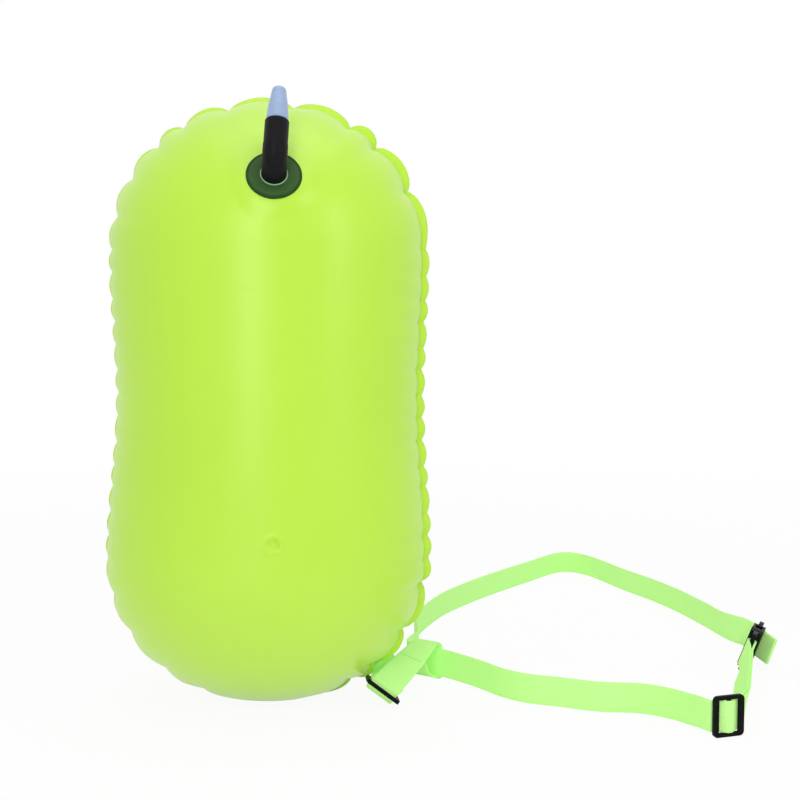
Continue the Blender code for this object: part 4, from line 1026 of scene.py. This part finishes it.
FAR_ROUTE = [
    (118.8, 92.5, 14.1), (121.4, 102.8, 13.6), (127, 120, 13.2), (126, 160, 12.8), (127, 193, 12.8),
    (152, 272, 12.8), (186, 336, 12.8), (222, 391, 12.8), (261, 445, 12.8), (299, 497, 12.8),
    (320, 509, 12.8), (339, 491, 12.8), (353, 459, 12.8), (372, 404, 12.8), (394, 351, 12.8),
    (411, 292, 13.6), (422, 225, 15.7), (427, 170, 18.7),
] + held(
    BUCKLE_WAY, (433.2, 131.9, 22.5), (436.7, 123.3, 22.8), (439.9, 115.5, 20.6), (441.2, 108.3, 19.1),
    (443.9, 103.2, 17.5), (447.9, 96.2, 15.1), (450.6, 90.3, 13.3), (450.9, 89.9, 13.2),
    (451.4, 89.7, 13), (451.9, 89.8, 12.8), (452.3, 90.2, 12.8), (452.5, 90.7, 12.8),
    (452.4, 91.4, 12.9), (449.7, 97.3, 14.7), (446.3, 104.4, 16.8), (447.2, 112.2, 17.7),
    (447.5, 117.4, 18.3), (443.9, 121.6, 19.7), (438.9, 126.8, 21), (435, 132.8, 22.2),
)
strap("near_belt", NEAR_ROUTE, "buoy", ("belt_near_strand",))
far_belt = strap("far_belt_webbing", FAR_ROUTE, None, ("belt_far_strand",))
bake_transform(far_belt)

# %% [markdown]
# Sewing shows as rows of short, fat stitches. Each one is a stretched sphere
# half sunk in the webbing, and a row of them crosses the strap where two
# layers are joined. Real stitches are wound thread, but at this size only
# their length, gap and shine show.

# %% The stitches
STITCH_PITCH = 0.0022
STITCH_LENGTH = 0.0017
STITCH_RADIUS = 0.00042
STITCH_LIFT = 0.0002
ROW_LENGTH = 0.020
ROW_GAP = 0.0034


def stitch_row(name, centre, across, out, body, replaced, rows=2):
    centre, across, out = Vector(centre) / 1000, Vector(across).normalized(), Vector(out).normalized()
    beside = out.cross(across)
    bm = bmesh.new()
    count = int(ROW_LENGTH / STITCH_PITCH)
    for row in range(rows):
        shift = beside * (row - (rows - 1) / 2) * ROW_GAP
        for index in range(count):
            place = centre + shift + across * STITCH_PITCH * (index - (count - 1) / 2) + out * STITCH_LIFT
            turn = placed(place, across, out)
            size = Matrix.Diagonal((STITCH_LENGTH / 2, STITCH_RADIUS, STITCH_RADIUS, 1))
            bmesh.ops.create_uvsphere(bm, u_segments=8, v_segments=6, radius=1, matrix=turn @ size)
    return finished(bm, name, thread, body, (replaced,))


stitch_row("tab_stitches", (74.16, 67.17, 47.54), (0.7645, -0.0231, 0.6442), (0.4916, 0.6673, -0.5595),
           "buoy", "anchor_tab_stitch", rows=3)
stitch_row("loop_stitches", (119.39, 19.35, 27.25), (0.877, -0.4097, -0.2511), (0.1558, -0.2518, 0.9551),
           "buoy", "leash_loop_stitch", rows=1)
stitch_row("ring_stitches", (91.84, 25.56, 25.07), (0.7645, -0.0231, 0.6442), (-0.5618, -0.5138, 0.6484),
           "buoy", "leash_ring_stitch")
stitch_row("tail_stitches", (436.75, 131.42, 21.7), (0.2469, -0.0324, 0.9685), (0.8048, 0.5635, -0.1863),
           "far_belt", "far_tail_stitch")

# %% [markdown]
# The sliders, the ring and the buckle have their true shapes in the solids
# already, with square edges. A copy of each is merged, its flat faces are
# joined up, and its corners are beveled to the small radius that a mould
# leaves, because a bevel only works on clean, connected faces. The ring is
# round wire, so its copy gets no bevel.

# %% The sliders, the ring and the buckle
NODE_MERGE = 0.00001
FLAT_ANGLE = math.radians(3)
CORNER_ANGLE = math.radians(30)
BEVEL_STEPS = 3
SLIDER_EDGE = 0.0007
SOCKET_EDGE = 0.0005
PLUG_EDGE = 0.0004


def moulded_copy(name, node, body, edge_radius):
    bm = bmesh.new()
    bm.from_mesh(nodes[node].data)
    bmesh.ops.remove_doubles(bm, verts=bm.verts, dist=NODE_MERGE)
    bmesh.ops.dissolve_limit(bm, angle_limit=FLAT_ANGLE, verts=bm.verts, edges=bm.edges)
    if edge_radius:
        corners = [edge for edge in bm.edges
                   if len(edge.link_faces) == 2 and edge.calc_face_angle() > CORNER_ANGLE]
        bmesh.ops.bevel(bm, geom=corners, offset=edge_radius, segments=BEVEL_STEPS, profile=0.5,
                        affect="EDGES", material=-1, clamp_overlap=True)
    return finished(bm, name, black_plastic, body, (node,))


moulded_copy("leash_glide", "leash_slider", "buoy", SLIDER_EDGE)
moulded_copy("belt_glide", "belt_slider", "buoy", SLIDER_EDGE)
moulded_copy("leash_ring", "anchor_ring", "buoy", 0.0)
moulded_copy("socket_shell", "buckle_socket", "far_belt", SOCKET_EDGE)
moulded_copy("plug_frame", "buckle_plug", "buoy", PLUG_EDGE)
moulded_copy("upper_prong_arm", "release_prong_upper", "upper_prong", PLUG_EDGE)
moulded_copy("lower_prong_arm", "release_prong_lower", "lower_prong", PLUG_EDGE)

# %% [markdown]
# The small parts inside the tube keep their solids, which are round and exact,
# and only get their finishes.

# %% The parts inside the tube
KEPT_SOLIDS = {"valve_insert": natural_plastic, "stem_plug": natural_plastic, "plug_o_ring": black_rubber}

for node, finish in KEPT_SOLIDS.items():
    for holder in nodes[node].material_slots:
        holder.material = finish
print("kept solids:", len(KEPT_SOLIDS))

# %% [markdown]
# The room is a plain floor under soft light. The background is white because
# the world is white to the camera, and to reflections, while the light it
# casts stays lower, so the colours render about as they are written.

# %% Floor and world
FLOOR_SIZE = 8.0
WORLD_LIGHT = 0.62
NEAR_WHITE = 0.93
WHITE_STARTS = 0.6
WHITE_ENDS = 2.0

ground = bmesh.new()
bmesh.ops.create_grid(ground, x_segments=4, y_segments=4, size=FLOOR_SIZE)
floor_mesh = bpy.data.meshes.new("floor")
ground.to_mesh(floor_mesh)
ground.free()
floor_finish, tree, shader = new_finish("pale_floor", (0.93, 0.93, 0.93), 0.9, Specular_IOR_Level=0.1)
white = add_node(tree, "ShaderNodeEmission")
far = add_node(tree, "ShaderNodeVectorMath", operation="LENGTH")
feed(tree, object_place(tree), far.inputs[0])
whiteness = eased(tree, far.outputs["Value"], WHITE_STARTS, WHITE_ENDS, NEAR_WHITE, 1.0)
path = add_node(tree, "ShaderNodeLightPath").outputs
shown = calc(tree, "MULTIPLY", whiteness, calc(tree, "MAXIMUM", path["Is Camera Ray"], path["Is Glossy Ray"]))
blend = add_node(tree, "ShaderNodeMixShader")
feed(tree, shown, blend.inputs[0])
feed(tree, shader.outputs[0], blend.inputs[1])
feed(tree, white.outputs[0], blend.inputs[2])
feed(tree, blend.outputs[0], tree.nodes["Material Output"].inputs["Surface"])
floor_mesh.materials.append(floor_finish)
add_object("floor", floor_mesh)

world = bpy.data.worlds.new("studio")
world.use_nodes = True
bpy.context.scene.world = world
tree = world.node_tree
path = add_node(tree, "ShaderNodeLightPath").outputs
seen = calc(tree, "MAXIMUM", path["Is Camera Ray"],
            calc(tree, "MAXIMUM", path["Is Glossy Ray"], path["Is Transmission Ray"]))
tree.nodes["Background"].inputs["Color"].default_value = (1, 1, 1, 1)
feed(tree, spread(tree, seen, WORLD_LIGHT, 1.0), tree.nodes["Background"].inputs["Strength"])

# %% [markdown]
# Three large rectangle lamps light the buoy, from the front, the right and
# above. Their size gives the long soft highlights of a studio on the film,
# where a small lamp would give hard bright spots.

# %% Lamps
AIM = Vector((0.10, 0.05, 0.22))


def soft_lamp(name, place, width, height, power):
    light = bpy.data.lights.new(name, "AREA")
    light.shape = "RECTANGLE"
    light.size, light.size_y = width, height
    light.energy = power
    item = add_object(name, light)
    item.location = place
    item.rotation_euler = (AIM - Vector(place)).to_track_quat("-Z", "Y").to_euler()


soft_lamp("front_lamp", (-0.25, -1.9, 0.75), 0.45, 1.4, 7.5)
soft_lamp("right_lamp", (1.7, -1.3, 0.9), 0.40, 1.4, 5.0)
soft_lamp("top_lamp", (0.1, -0.2, 2.1), 1.6, 1.6, 9.0)
bpy.context.scene.view_settings.view_transform = "Standard"

# %% Update the scene
bpy.context.view_layer.update()
